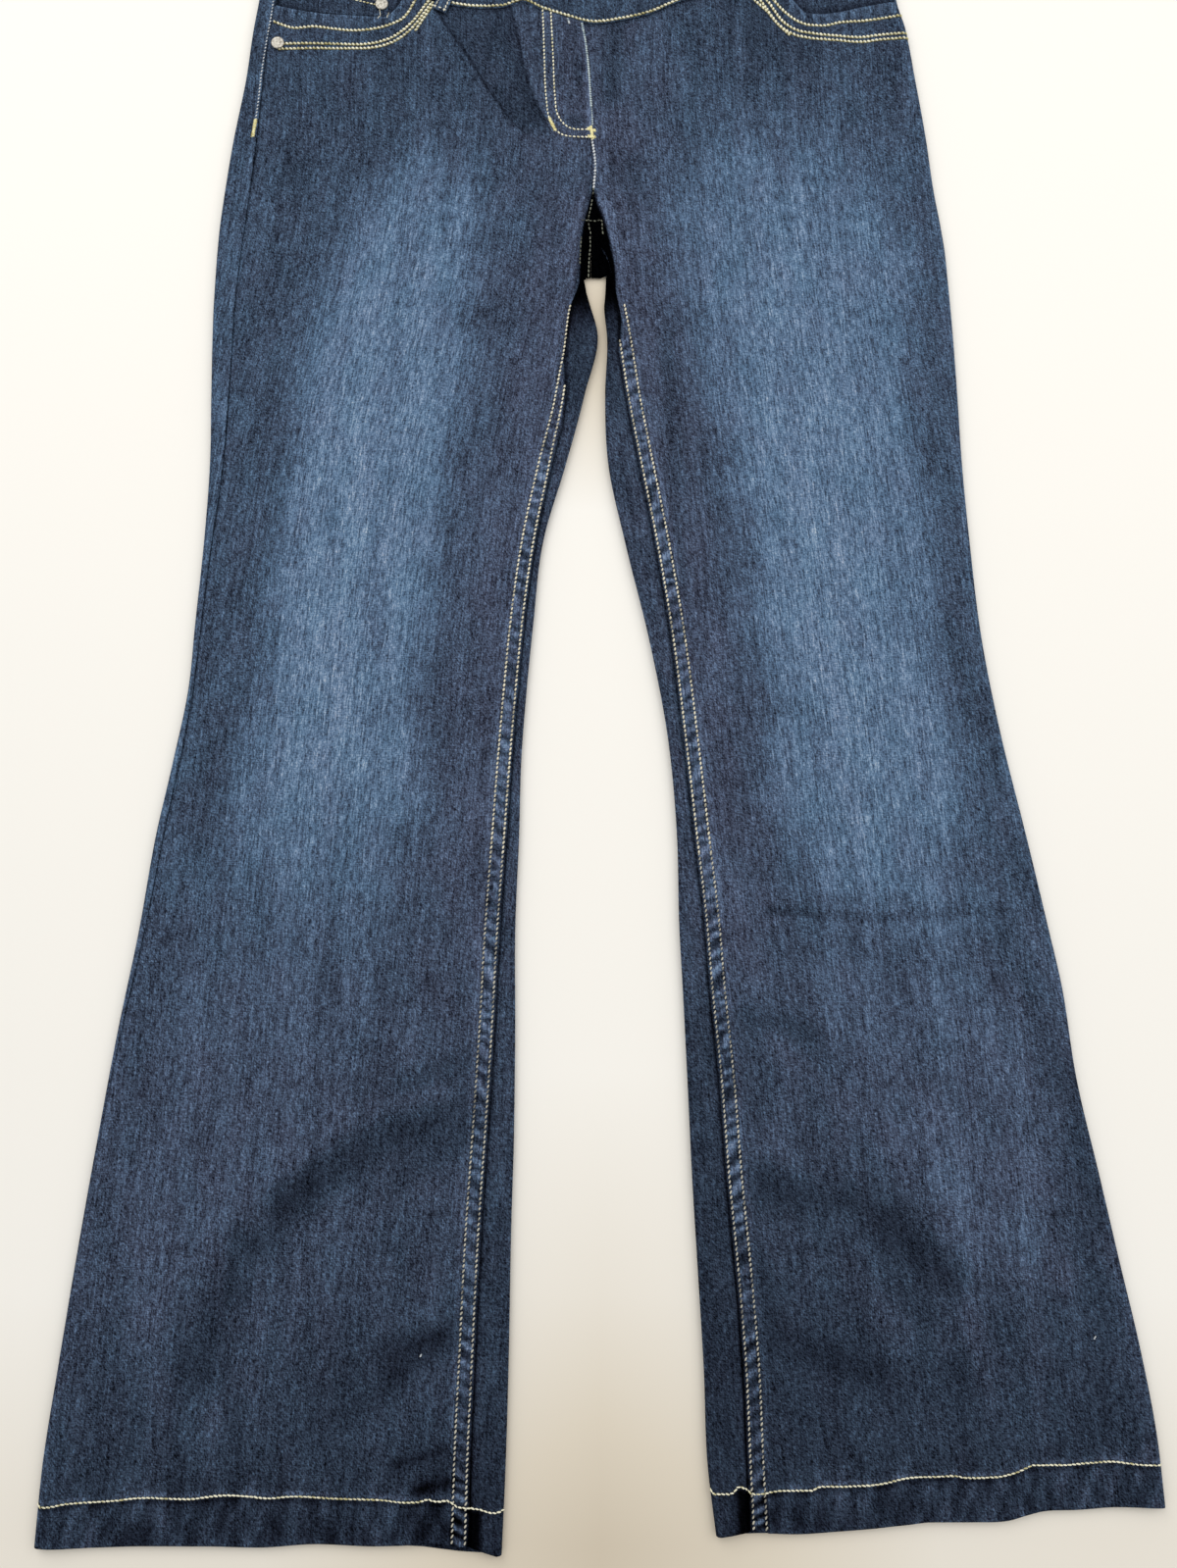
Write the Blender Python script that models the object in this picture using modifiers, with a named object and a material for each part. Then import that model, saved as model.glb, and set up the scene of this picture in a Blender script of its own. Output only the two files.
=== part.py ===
"""Maternity jeans laid flat with the front up, as one garment of separate cloth pieces.

Each leg is a flattened tube: its back panel lies on the floor, folds up round the edges and meets
the front panel at the inseam and the side seam. Tables give the outline and the seams in
millimetres: across is measured to the right from a line near the centre front, along is measured
up the garment from knee height, and heights are above the floor.
"""

import math

import bmesh
import bpy
import numpy as np

MM = 0.001
MIDDLE_ACROSS = 6.5
MIDDLE_ALONG = 237.0

DENIM = 1.2
BAND = 1.6
JERSEY = 1.2
FLY = 0.9
SEAM_GAP = 0.3
SIDE_GAP = 0.56

FOLD_RADIUS = 2.8
CROTCH_RADIUS = 1.8
LEG_HEIGHT = 3.9
HIP_HEIGHT = 4.8
FACING_HEIGHT = 2.9
COIN_HEIGHT = 4.25
GROOVE_HEIGHT = 3.7
BULGE = 2.9
FELL_WIDTH = 7.5
FELL_RISE = 0.6
HEM_DEPTH = 23.0
HEM_RISE = 0.5

WAISTBAND_WIDTH = 40.0
BELLY_TOP = 790.0
BACK_WAIST = 664.0
CENTRE_BACK = 1.5
CROSS = (1.5, 457.0)

RIVET_RADIUS = 4.15
RIVET_HEIGHT = 1.4
LOOP_WIDTH = 9.5
LOOP_WALL = 1.6
LOOP_TILT = math.radians(25)
LOOP_LENGTH = 50.0

FACING_ENDS = (-112.0, 116.0)
FACING_TUCK = 9.0
FACING_COLUMNS = 9
COIN_ENDS = (-176.0, -130.5)
COIN_TOP = 619.5
COIN_SLOPE = 0.25
COIN_COLUMNS = 7
LOOP_ROWS = 6


def table(columns, *rows):
    """Rows of numbers as named columns."""
    return dict(zip(columns.split(), zip(*rows)))


# Sections of the wearer's right leg and hip, hem first. Edge is the outline, side and inner_seam
# are seams on the upper face, and inner is the inner edge of the leg (the seam again above the crotch).
RIGHT_LEG = table(
    "along edge side inner_seam inner",
    (-312,   -297,   -297, -69.5, -46.5),
    (-270, -295.3, -295.3,   -69, -44.9),
    (-220, -290.2, -290.2, -67.3, -43.8),
    (-146, -281.9, -281.3, -64.5,   -43),
    ( -93, -275.3,   -274, -61.4, -41.9),
    ( -39, -268.1, -265.5, -58.5, -41.8),
    (  16, -259.5, -255.5, -56.1, -42.3),
    (  73, -252.4, -247.3, -52.5, -40.5),
    ( 115,   -245, -240.5, -49.9, -39.7),
    ( 160,   -238, -234.4, -46.6, -36.7),
    ( 199,   -236, -231.8, -43.3, -33.2),
    ( 252, -233.1, -227.6, -36.5, -27.3),
    ( 300,   -232, -223.4,   -27,   -14),
    ( 346, -233.4,   -222, -16.6,  -2.4),
    ( 388, -234.5, -221.3, -13.5,   5.5),
    ( 405, -234.7, -220.9,   -11,   1.2),
    ( 421, -234.5,   -220,  -5.2,  -2.8),
    ( 440, -234.1, -218.8,    -2,    -2),
    ( 457, -233.4, -217.2,   1.5,   1.5),
    ( 483, -231.2, -214.8,   1.5,   1.5),
    ( 519, -227.3, -212.2,   1.5,   1.5),
    ( 561, -221.2, -209.5,   1.5,   1.5),
    ( 599, -217.6, -206.5,   1.5,   1.5),
    ( 618, -215.1, -203.6,   1.5,   1.5),
    ( 660,   -211, -199.5,   1.5,   1.5),
    ( 702,   -208, -196.5,   1.5,   1.5),
    ( 790,   -194,   -183,   1.5,   1.5),
)
LEFT_LEG = table(
    "along edge side inner_seam inner",
    (-307, 310.5, 310.5,   92, 68.5),
    (-272, 308.7, 308.7, 90.9, 64.5),
    (-223, 302.7, 302.7, 89.6, 63.1),
    (-172, 294.3, 294.3, 86.3, 60.6),
    (-120, 285.8, 285.8, 82.1,   58),
    ( -66, 276.4, 276.4, 78.7,   56),
    ( -12, 270.8, 270.8,   74, 53.8),
    (  16, 265.8, 265.8, 72.2, 52.5),
    (  73, 255.3, 255.3, 66.5, 51.6),
    ( 131,   244,   244, 60.7, 46.8),
    ( 190, 235.4, 235.4, 54.2, 36.3),
    ( 252,   231,   231, 44.8, 21.9),
    ( 300, 228.8, 228.8,   36, 12.2),
    ( 346,   228,   228, 27.8, 10.3),
    ( 383, 227.1, 227.1, 22.5, 11.6),
    ( 405, 226.3, 226.3, 18.8,  9.8),
    ( 424, 225.4, 225.4,   15, 11.1),
    ( 440, 224.6, 224.6,   11,   11),
    ( 457, 222.8, 222.8,  1.5,  1.5),
    ( 483, 219.3, 219.3,  1.5,  1.5),
    ( 519,   216,   216,  1.5,  1.5),
    ( 561, 210.9, 210.9,  1.5,  1.5),
    ( 599, 205.6, 205.6,  1.5,  1.5),
    ( 618,   201,   199,  1.5,  1.5),
    ( 632, 199.5, 193.5,  1.5,  1.5),
    ( 660,   197,   191,  1.5,  1.5),
    ( 702,   194,   188,  1.5,  1.5),
    ( 790,   180,   174,  1.5,  1.5),
)
# Centre front seam from the crotch up, and the folded edge of the fly above it.
CENTRE_FRONT = table(
    "along across",
    (457,  1.5),
    (470,  2.3),
    (483,  2.6),
    (519,  1.9),
    (561,    0),
    (599, -3.2),
    (625, -4.5),
)

# Top edge of the front panels from the side seam inwards: each pocket mouth, up to the waist seam.
RIGHT_MOUTH = table(
    "across along",
    (  -211,   616),
    (  -181, 610.1),
    (  -146, 607.2),
    (  -132, 606.6),
    (-126.2, 611.5),
    (-122.5,   617),
    (  -118, 626.6),
)
LEFT_MOUTH = table(
    "across along",
    (  121, 634.3),
    (  127,   626),
    (  134, 617.9),
    (  141, 609.8),
    (  149, 608.5),
    (160.6, 609.7),
    (178.5, 613.6),
    (  201, 617.2),
)
# The waist seam, scooped under the belly, with the lift that the fold beside the fly gives it.
WAIST_SEAM = table(
    "across along",
    (-211,   664),
    (-160,   645),
    (-118, 626.6),
    (-103, 619.5),
    ( -89, 614.7),
    ( -66, 612.2),
    ( -52, 613.5),
    ( -43,   617),
    ( -31, 611.5),
    ( -15, 605.8),
    (   3, 600.8),
    (  20,   603),
    (  41, 608.6),
    (  59,   617),
    (  80,   622),
    ( 100,   627),
    ( 121, 634.3),
    ( 160,   650),
    ( 197,   664),
)
# Top edge of the waistband, where the belly band is sewn on.
WAIST_TOP = table(
    "across along",
    (-211, 704),
    (-118, 665),
    ( -60, 650),
    (   3, 641),
    (  60, 653),
    ( 121, 671),
    ( 197, 704),
)
# Left edge of the stitched fly flap, curved in at its foot.
FLY_EDGE = table(
    "along across",
    (519.2,    -8),
    (520.6, -15.5),
    (523.5, -21.6),
    (  529, -25.9),
    (  536, -27.6),
    (  547, -28.9),
    (  575, -30.2),
    (  607, -31.2),
)

# Lie of the cloth: soft ridges and troughs, each along one line.
FOLDS = table(
    "across_0 along_0 across_1 along_1 width height",
    ( -48,  615,  -33,  552,  6,  1.5),  # ridge beside the fly
    ( -60,  600,  -42,  545,  9, -0.7),  # trough beside that ridge
    ( -88,  600,  -58,  532,  9, -0.7),  # outer trough of the same fold
    ( -71,  -84, -119, -104, 13, -0.8),  # right shin, inner run
    (-125, -100, -178, -134, 14, -0.9),  # right shin, middle
    (-190, -150, -211, -222, 16, -0.8),  # right shin, outer run
    ( -68, -206, -112, -230, 10, -0.6),  # small trough by the right hem
    ( 104,   30,  238,   32,  8,  1.2),  # left knee, crease ridge
    ( 110,   17,  236,   20,  9, -0.7),  # left knee, trough under it
    (  84,  -26,  117,  -36,  9,  0.8),  # left leg, short ridge below the knee
    ( 100, -124,  155, -140, 12, -0.7),  # left shin
    ( 160, -142,  200, -174, 12, -0.8),  # left shin, outer run
    ( 104, -206,  155, -223, 10, -0.6),  # left lower leg
    ( 208, -195,  228, -250, 10,  0.8),  # left lower leg, ridge to the hem
    ( 158,  458,  205,  485,  5,  0.6),  # left hip, thin diagonal
    (-150,  330, -160,  120, 34,  0.8),  # right thigh, long swell
    ( 190,  330,  175,  120, 30,  0.7),  # left thigh, long swell
    ( 120,  -90,  165, -110, 20,  0.7),  # left shin, slanted swell
)

LEG_LEVELS = [20, 24, 60, 100, 145, 190, 235, 280, 325, 370, 415, 460, 505, 550, 595, 635, 668, 700]
CROTCH_LEVELS = [405, 414, 424, 434, 446]
HIP_LEVELS = [457, 472, 490, 512, 538, 565, 588]
TOP_SHARES = [0.45, 0.8, 1]
FRONT_SHARES = [0, 0.0035, 0.012, 0.025, 0.06, 0.13, 0.22, 0.3, 0.345, 0.372, 0.4, 0.43, 0.52, 0.62, 0.72,
                0.81, 0.885, 0.935, 0.962, 0.972, 1]
FLOOR_SHARES = [0, 0.14, 0.38, 0.62, 0.86, 1]
FOLD_ANGLES = [90, 40, 0, -45, -90]


def read(table, column, key, at):
    """A column of a table at a value of its key column, on a smooth curve through its rows."""
    keys = np.array(table[key], float)
    values = np.array(table[column], float)
    slopes = np.gradient(values, keys)
    steps = np.diff(values) / np.diff(keys)
    limit = 3 * np.minimum(np.abs(np.append(steps, steps[-1])), np.abs(np.insert(steps, 0, steps[0])))
    slopes = np.clip(slopes, -limit, limit)
    at = min(max(at, keys[0]), keys[-1])
    i = min(int(np.searchsorted(keys, at, side="right")) - 1, len(keys) - 2)
    span = keys[i + 1] - keys[i]
    u = (at - keys[i]) / span
    start = (1 + 2 * u) * (1 - u) ** 2 * values[i] + u * (1 - u) ** 2 * span * slopes[i]
    end = u * u * (3 - 2 * u) * values[i + 1] - u * u * (1 - u) * span * slopes[i + 1]
    return float(start + end)


def ease(low, high, at):
    """0 below low, 1 above high and a smooth step between."""
    u = min(max((at - low) / (high - low), 0), 1)
    return u * u * (3 - 2 * u)


def folds_at(across, along):
    """Height that the lie of the cloth adds at a place."""
    total = 0
    for x0, y0, x1, y1, width, height in zip(*FOLDS.values()):
        run = np.array([x1 - x0, y1 - y0], float)
        here = np.array([across - x0, along - y0], float)
        share = min(max(float(here @ run) / float(run @ run), 0), 1)
        distance = float(np.linalg.norm(here - share * run))
        total += height * math.exp(-((distance / width) ** 2))
    return total


def inner_seam(leg, along):
    """The inseam below the crotch and the centre front seam above it."""
    if along < CROSS[1]:
        return read(leg, "inner_seam", "along", along)
    return read(CENTRE_FRONT, "across", "along", along)


def inner_radius(along):
    """Radius of the fold at a leg's inner edge, which tightens at the crotch."""
    return FOLD_RADIUS + (CROTCH_RADIUS - FOLD_RADIUS) * ease(388, 421, along)


def upper_height(leg, across, along):
    """Height of the upper face of a leg or hip at a place, away from the round of its edges."""
    base = LEG_HEIGHT + (HIP_HEIGHT - LEG_HEIGHT) * ease(535, 580, along)
    edge = abs(read(leg, "edge", "along", along) - across)
    height = base + (2 * FOLD_RADIUS - base) * math.exp(-((max(edge - FOLD_RADIUS, 0) / 15) ** 2))
    seam = abs(inner_seam(leg, along) - across)
    if along < CROSS[1]:
        inner = abs(read(leg, "inner", "along", along) - across)
        rounded = (1 - ease(400, 425, along)) * math.exp(-((inner / 26) ** 2))
        height += (2 * inner_radius(along) - base) * rounded
        height += FELL_RISE * (1 - ease(FELL_WIDTH - 1, FELL_WIDTH + 1, seam)) * (1 - ease(395, 420, along))
    closeness = ease(385, 425, along) * (1 - ease(462, 500, along))
    groove = (GROOVE_HEIGHT - base) * math.exp(-((seam / 4) ** 2))
    bulge = BULGE * ease(1, 9, seam) * math.exp(-((max(seam - 9, 0) / 26) ** 2))
    height += closeness * (groove + bulge)
    away = ease(6, 16, edge) * (1 - closeness * (1 - ease(10, 30, seam)))
    return height + away * folds_at(across, along)


def seam_turn(leg, along):
    """Arc length from a leg's outer edge up over it to the side seam."""
    inset = abs(read(leg, "edge", "along", along) - read(leg, "side", "along", along))
    if inset < FOLD_RADIUS:
        return FOLD_RADIUS * math.acos(1 - inset / FOLD_RADIUS)
    return FOLD_RADIUS * math.pi / 2 + inset - FOLD_RADIUS


def over_edge(leg, along, arc):
    """Place and height at an arc length from the outer edge: positive is over it, negative under."""
    edge = read(leg, "edge", "along", along)
    inward = -math.copysign(1, edge)
    quarter = FOLD_RADIUS * math.pi / 2
    if abs(arc) <= quarter:
        angle = arc / FOLD_RADIUS
        across = edge + inward * FOLD_RADIUS * (1 - math.cos(angle))
        return across, FOLD_RADIUS * (1 + math.sin(angle))
    across = edge + inward * (FOLD_RADIUS + abs(arc) - quarter)
    return across, upper_height(leg, across, along) if arc > 0 else 0


def hem_line(leg, across):
    """Lower edge of a leg: level on the right one, rising outwards on the left one."""
    if leg is RIGHT_LEG:
        return -311.5 - 4 * ease(-62, -54, across)
    return -307 + 16 * ease(60, 320, across)


def from_hem(leg, across, level):
    """Along value of a level counted from the hem, whose slope fades out up the leg."""
    start = leg["along"][0]
    return start + level + (hem_line(leg, across) - start) * (1 - ease(0, 240, level))


def front_top(leg, across):
    """Top edge of a front panel: the pocket mouth, then the waist seam."""
    mouth = RIGHT_MOUTH if leg is RIGHT_LEG else LEFT_MOUTH
    if mouth["across"][0] <= across <= mouth["across"][-1]:
        return read(mouth, "along", "across", across)
    if abs(across) > 150:
        return mouth["along"][0 if leg is RIGHT_LEG else -1]
    return read(WAIST_SEAM, "along", "across", across) - SEAM_GAP


def side_levels(leg):
    """Along values of the last sections, where they meet the side seam under the pocket mouth."""
    below = HIP_LEVELS[-1]
    side = front_top(leg, math.copysign(200, leg["edge"][0]))
    return [below + share * (side - below) for share in TOP_SHARES]


def front_row(leg, along, place):
    """Points of a front panel across one section, side seam first; place gives each point's along."""
    start = seam_turn(leg, along) + SIDE_GAP / 2
    edge = read(leg, "edge", "along", along)
    inward = -math.copysign(1, edge)
    seam = inner_seam(leg, along) - inward * SEAM_GAP / 2
    end = FOLD_RADIUS * math.pi / 2 + abs(seam - edge) - FOLD_RADIUS
    row = []
    for share in FRONT_SHARES:
        across, height = over_edge(leg, along, start + share * (end - start))
        row.append((across, place(across), height))
    return row


def front_rows(leg):
    """All sections of a front panel, hem first."""
    bottom = leg["along"][0]
    rows = []
    for level in [0] + LEG_LEVELS:
        rise = HEM_RISE if level < HEM_DEPTH else 0
        section = front_row(leg, bottom + level, lambda x: from_hem(leg, x, level))
        rows.append([(x, y, z + rise * ease(1.5, 4, z)) for x, y, z in section])
    for along in CROTCH_LEVELS + HIP_LEVELS:
        rows.append(front_row(leg, along, lambda x: along))
    below = HIP_LEVELS[-1]
    for share, along in zip(TOP_SHARES, side_levels(leg)):
        rows.append(front_row(leg, along, lambda x: below + share * (front_top(leg, x) - below)))
    return rows


def round_fold(tip, outward, radius):
    """Points round a fold from its upper side to the floor, at a tip on the outline."""
    points = []
    for angle in FOLD_ANGLES:
        turn = math.radians(angle)
        back = radius * (1 - math.cos(turn))
        points.append((tip[0] - outward[0] * back, tip[1] - outward[1] * back,
                       radius * (1 + math.sin(turn))))
    return points


def outer_wrap(leg, along, place):
    """Points from the floor round a leg's outer edge up to the side seam."""
    quarter = FOLD_RADIUS * math.pi / 2
    end = seam_turn(leg, along) - SIDE_GAP / 2
    start = min(0, end - 1.2)
    arcs = [-quarter, -0.5 * quarter]
    for share in (0, 0.15, 0.3, 0.65, 1):
        arcs.append(start + share * (end - start))
    points = []
    for arc in arcs:
        across, height = over_edge(leg, along, arc)
        points.append((across, place(across), height))
    return points


def back_row(leg, along, seam, tip, outward, place):
    """One section of a back panel from the inseam on the upper face, round the inner fold and
    over the floor to the side seam. Above the crotch seam is None and the section starts at tip."""
    radius = inner_radius(along)
    sign = math.copysign(1, tip[0] - leg["edge"][0])
    if seam is None:
        start = (tip[0] - sign * SEAM_GAP / 2, tip[1], 0)
        upper = [None] * (len(FOLD_ANGLES) + 2)
    else:
        upper = round_fold(tip, outward, radius)
        start = upper.pop()
        over = upper[0]
        near = (seam[0] + sign * SEAM_GAP / 2, seam[1])
        lead = []
        for share in (0, 0.4, 0.75):
            across = near[0] + share * (over[0] - near[0])
            height = upper_height(leg, across, near[1])
            if seam[1] > 402:
                height = GROOVE_HEIGHT + share * (over[2] - GROOVE_HEIGHT)
            lead.append((across, near[1] + share * (over[1] - near[1]), height))
        upper = lead + upper
    wrap = outer_wrap(leg, along, place)
    floor = []
    for share in FLOOR_SHARES[1:-1]:
        across = start[0] + share * (wrap[0][0] - start[0])
        floor.append((across, start[1] + ease(0, 0.3, share) * (place(across) - start[1]), 0))
    return upper + [start] + floor + wrap


def back_rows(leg):
    """All sections of a back panel, hem first, with the fan of sections that turns the crotch."""
    bottom = leg["along"][0]
    right = leg is RIGHT_LEG
    outward = (1, 0) if right else (-1, 0)
    rows = []
    for level in [0] + LEG_LEVELS:
        along = bottom + level
        seam = inner_seam(leg, along)
        inner = read(leg, "inner", "along", along)
        row = back_row(leg, along, (seam, from_hem(leg, seam, level)), (inner, from_hem(leg, inner, level)),
                       outward, lambda x: from_hem(leg, x, level))
        rise = HEM_RISE if level < HEM_DEPTH else 0
        rows.append([(x, y, z + rise * ease(3, 5, z)) for x, y, z in row])
    corner = (-2.8, 421.4) if right else (11.1, 424)
    fan = {
        "along":   CROTCH_LEVELS + [CROSS[1]],
        "seam":    [(inner_seam(leg, along), along) for along in CROTCH_LEVELS]
                   + [(CENTRE_BACK, CROSS[1] - 1.8)],
        "tip":     [(read(leg, "inner", "along", 405), 405), (0.6 * corner[0] + 0.4 * leg["inner"][15], 414),
                    corner, (0.65 * corner[0] + 0.35 * CENTRE_BACK, 422.6),
                    (0.3 * corner[0] + 0.7 * CENTRE_BACK, 422.7), (CENTRE_BACK, 422.8)],
        "outward": [outward, outward, (outward[0] * 0.7, -0.7), (0, -1), (0, -1), (0, -1)],
    }
    for along, seam, tip, facing in zip(*fan.values()):
        rows.append(back_row(leg, along, seam, tip, facing, lambda x: along))
    rows[-1] = [(min(x, CENTRE_BACK - 0.15) if right else max(x, CENTRE_BACK + 0.15), y, z)
                for x, y, z in rows[-1]]
    for along in HIP_LEVELS[1:] + side_levels(leg) + [632, BACK_WAIST - SEAM_GAP]:
        rows.append(back_row(leg, along, None, (CENTRE_BACK, along), outward, lambda x: along))
    return rows


def band_places():
    """Across values of a front band, over the points of the panels' top edges below it."""
    right = [x for x, y, z in front_rows(RIGHT_LEG)[-1] if x > -119]
    left = [x for x, y, z in front_rows(LEFT_LEG)[-1] if x < 122]
    return [-178, -150] + right[:-1] + left[::-1] + [145, 162]


def band_end(leg, along):
    """End of a front band on the side seam, and a point further in."""
    points = []
    for inset in (0, 8):
        across, height = over_edge(leg, along, seam_turn(leg, along) + SIDE_GAP / 2 + inset)
        points.append((across, along, height))
    return points


def front_band(bottom, top, rows):
    """A band across the upper face between two edges, each a function of across."""
    places = band_places()
    sections = []
    for k in range(rows):
        share = k / (rows - 1)

        def level(across):
            return bottom(across) + share * (top(across) - bottom(across))

        middle = []
        for across in places:
            leg = RIGHT_LEG if across < 0 else LEFT_LEG
            middle.append((across, level(across), upper_height(leg, across, level(across))))
        sections.append(band_end(RIGHT_LEG, level(-200)) + middle + band_end(LEFT_LEG, level(200))[::-1])
    return sections


def back_band(bottom, top, rows):
    """A band across the floor, folded up over both outer edges to the side seams."""
    sections = []
    for k in range(rows):
        along = bottom + k / (rows - 1) * (top - bottom)
        left = outer_wrap(LEFT_LEG, along, lambda x: along)
        right = outer_wrap(RIGHT_LEG, along, lambda x: along)
        middle = []
        for share in (0.2, 0.4, 0.6, 0.8):
            middle.append((left[0][0] + share * (right[0][0] - left[0][0]), along, 0))
        sections.append(left[::-1] + middle + right)
    return sections


def facing_rows(leg):
    """Hip piece that shows in a pocket mouth, from under the panel's edge to the waist seam."""
    right = leg is RIGHT_LEG
    inner = FACING_ENDS[0 if right else 1]
    rows = []
    for share in (-1, 0, 0.25, 0.6, 1):
        row = []
        at = 620 + 30 * max(share, 0)
        edge = read(leg, "edge", "along", at)
        inset = max(abs(edge - read(leg, "side", "along", at)) + 0.4, 3.2)
        outer = edge + (inset if right else -inset)
        for k in range(FACING_COLUMNS):
            across = outer + k / (FACING_COLUMNS - 1) * (inner - outer)
            mouth = min(front_top(leg, across), 617)
            waist = read(WAIST_SEAM, "along", "across", across) - SEAM_GAP
            along = mouth - FACING_TUCK if share < 0 else mouth + share * (waist - mouth)
            row.append((across, along, FACING_HEIGHT))
        rows.append(row)
    return rows


def coin_rows():
    """Small pocket on the right facing, its mouth sloping up to the side."""
    rows = []
    for share in (0, 0.5, 1):
        row = []
        for k in range(COIN_COLUMNS):
            across = COIN_ENDS[0] + k / (COIN_COLUMNS - 1) * (COIN_ENDS[1] - COIN_ENDS[0])
            foot = front_top(RIGHT_LEG, across) + 2 * SEAM_GAP
            top = COIN_TOP - COIN_SLOPE * (across - COIN_ENDS[1])
            row.append((across, foot + share * (top - foot), COIN_HEIGHT))
        rows.append(row)
    return rows


def fly_rows():
    """Stitched fly flap on the right front, from its rounded foot to the waist seam."""
    rows = []
    for along in FLY_EDGE["along"][:-1] + (588, 600):
        row = []
        left = read(FLY_EDGE, "across", "along", along)
        right = inner_seam(RIGHT_LEG, along) + 2 * SEAM_GAP
        for share in (0, 0.12, 0.35, 0.6, 0.85, 1):
            across = left + share * (right - left)
            seam = read(WAIST_SEAM, "along", "across", across) - 2 * SEAM_GAP
            place = along if along < 600 else seam
            under = upper_height(RIGHT_LEG, across, min(place, 599))
            if along >= 575:
                under = max(under, HIP_HEIGHT)
            row.append((across, place, under + 2 * SEAM_GAP + FLY))
        rows.append(row)
    return rows


def loop_rows(foot, lean):
    """Belt loop from below the waist seam to the top of the waistband, leaning inwards."""
    up = (math.sin(LOOP_TILT) * lean, math.cos(LOOP_TILT))
    rows = []
    for k in range(LOOP_ROWS):
        along = k / (LOOP_ROWS - 1) * LOOP_LENGTH
        row = []
        for side in (-0.5, 0, 0.5):
            across = foot[0] + up[0] * along + up[1] * side * LOOP_WIDTH
            place = foot[1] + up[1] * along - up[0] * side * LOOP_WIDTH
            row.append((across, place, HIP_HEIGHT + 2 * SEAM_GAP + LOOP_WALL))
        rows.append(row)
    return rows


def material(name, colour, roughness, metallic=0):
    made = bpy.data.materials.new(name)
    made.use_nodes = True
    shader = made.node_tree.nodes["Principled BSDF"]
    shader.inputs["Base Color"].default_value = (*colour, 1)
    shader.inputs["Roughness"].default_value = roughness
    shader.inputs["Metallic"].default_value = metallic
    return made


def sheet(name, rows, wall, finish, flip=False):
    """Cloth piece through rows of points on its outer face, thickened inwards by its wall."""
    form = bmesh.new()
    grid = []
    for row in rows:
        line = []
        for point in row:
            if point is None:
                line.append(None)
                continue
            x, y, z = point
            line.append(form.verts.new(((x - MIDDLE_ACROSS) * MM, (y - MIDDLE_ALONG) * MM, z * MM)))
        grid.append(line)
    for lower, upper in zip(grid, grid[1:]):
        for a, b, c, d in zip(lower, lower[1:], upper[1:], upper):
            if None not in (a, b, c, d):
                form.faces.new((d, c, b, a) if flip else (a, b, c, d))
    mesh = bpy.data.meshes.new(name)
    form.to_mesh(mesh)
    form.free()
    piece = bpy.data.objects.new(name, mesh)
    jeans.objects.link(piece)
    piece.parent = garment
    mesh.materials.append(finish)
    mesh.shade_smooth()
    thick = piece.modifiers.new("wall", "SOLIDIFY")
    thick.thickness = wall * MM
    thick.offset = -1
    thick.use_even_offset = False
    return piece


def rivet(name, across, along, height, finish):
    """Round metal rivet cap with a bevelled rim."""
    form = bmesh.new()
    bmesh.ops.create_cone(form, cap_ends=True, segments=20, radius1=RIVET_RADIUS * MM,
                          radius2=RIVET_RADIUS * MM, depth=RIVET_HEIGHT * MM)
    mesh = bpy.data.meshes.new(name)
    form.to_mesh(mesh)
    form.free()
    piece = bpy.data.objects.new(name, mesh)
    jeans.objects.link(piece)
    piece.parent = garment
    piece.location = ((across - MIDDLE_ACROSS) * MM, (along - MIDDLE_ALONG) * MM,
                      (height + RIVET_HEIGHT / 2) * MM)
    mesh.materials.append(finish)
    rim = piece.modifiers.new("rim", "BEVEL")
    rim.width = 0.45 * MM
    rim.segments = 2
    return piece


for old in list(bpy.data.objects):
    bpy.data.objects.remove(old, do_unlink=True)

jeans = bpy.data.collections.new("maternity_jeans")
bpy.context.scene.collection.children.link(jeans)
garment = bpy.data.objects.new("garment", None)
jeans.objects.link(garment)

denim = material("denim", (0.045, 0.075, 0.14), 0.9)
jersey = material("jersey", (0.03, 0.035, 0.06), 0.95)
nickel = material("nickel", (0.62, 0.6, 0.56), 0.35, 1)

sheet("front_right", front_rows(RIGHT_LEG), DENIM, denim)
sheet("front_left", front_rows(LEFT_LEG), DENIM, denim, flip=True)
sheet("back_right", back_rows(RIGHT_LEG), DENIM, denim)
sheet("back_left", back_rows(LEFT_LEG), DENIM, denim, flip=True)
sheet("fly", fly_rows(), FLY, denim)
sheet("pocket_facing_right", facing_rows(RIGHT_LEG), DENIM, denim)
sheet("pocket_facing_left", facing_rows(LEFT_LEG), DENIM, denim, flip=True)
sheet("coin_pocket", coin_rows(), 1.0, denim)


def waist_seam(across):
    return read(WAIST_SEAM, "along", "across", across)


def waist_top(across):
    return read(WAIST_TOP, "along", "across", across)


def belly_foot(across):
    return waist_top(across) + SEAM_GAP


def belly_top(across):
    return BELLY_TOP


sheet("waistband_front", front_band(waist_seam, waist_top, 3), BAND, denim)
sheet("waistband_back", back_band(BACK_WAIST, BACK_WAIST + WAISTBAND_WIDTH, 3), BAND, denim)
sheet("belly_band_front", front_band(belly_foot, belly_top, 4), JERSEY, jersey)
sheet("belly_band_back", back_band(BACK_WAIST + WAISTBAND_WIDTH + SEAM_GAP, BELLY_TOP, 4), JERSEY, jersey)
sheet("belt_loop_right", loop_rows((-97.2, 609.4), 1), LOOP_WALL, denim)
sheet("belt_loop_left", loop_rows((99.5, 619.6), -1), LOOP_WALL, denim)
rivet("rivet_side", -200.8, 586.2, HIP_HEIGHT + 1.0, nickel)
rivet("rivet_coin", -134.6, 615.5, COIN_HEIGHT + 0.3, nickel)
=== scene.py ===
import math

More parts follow.
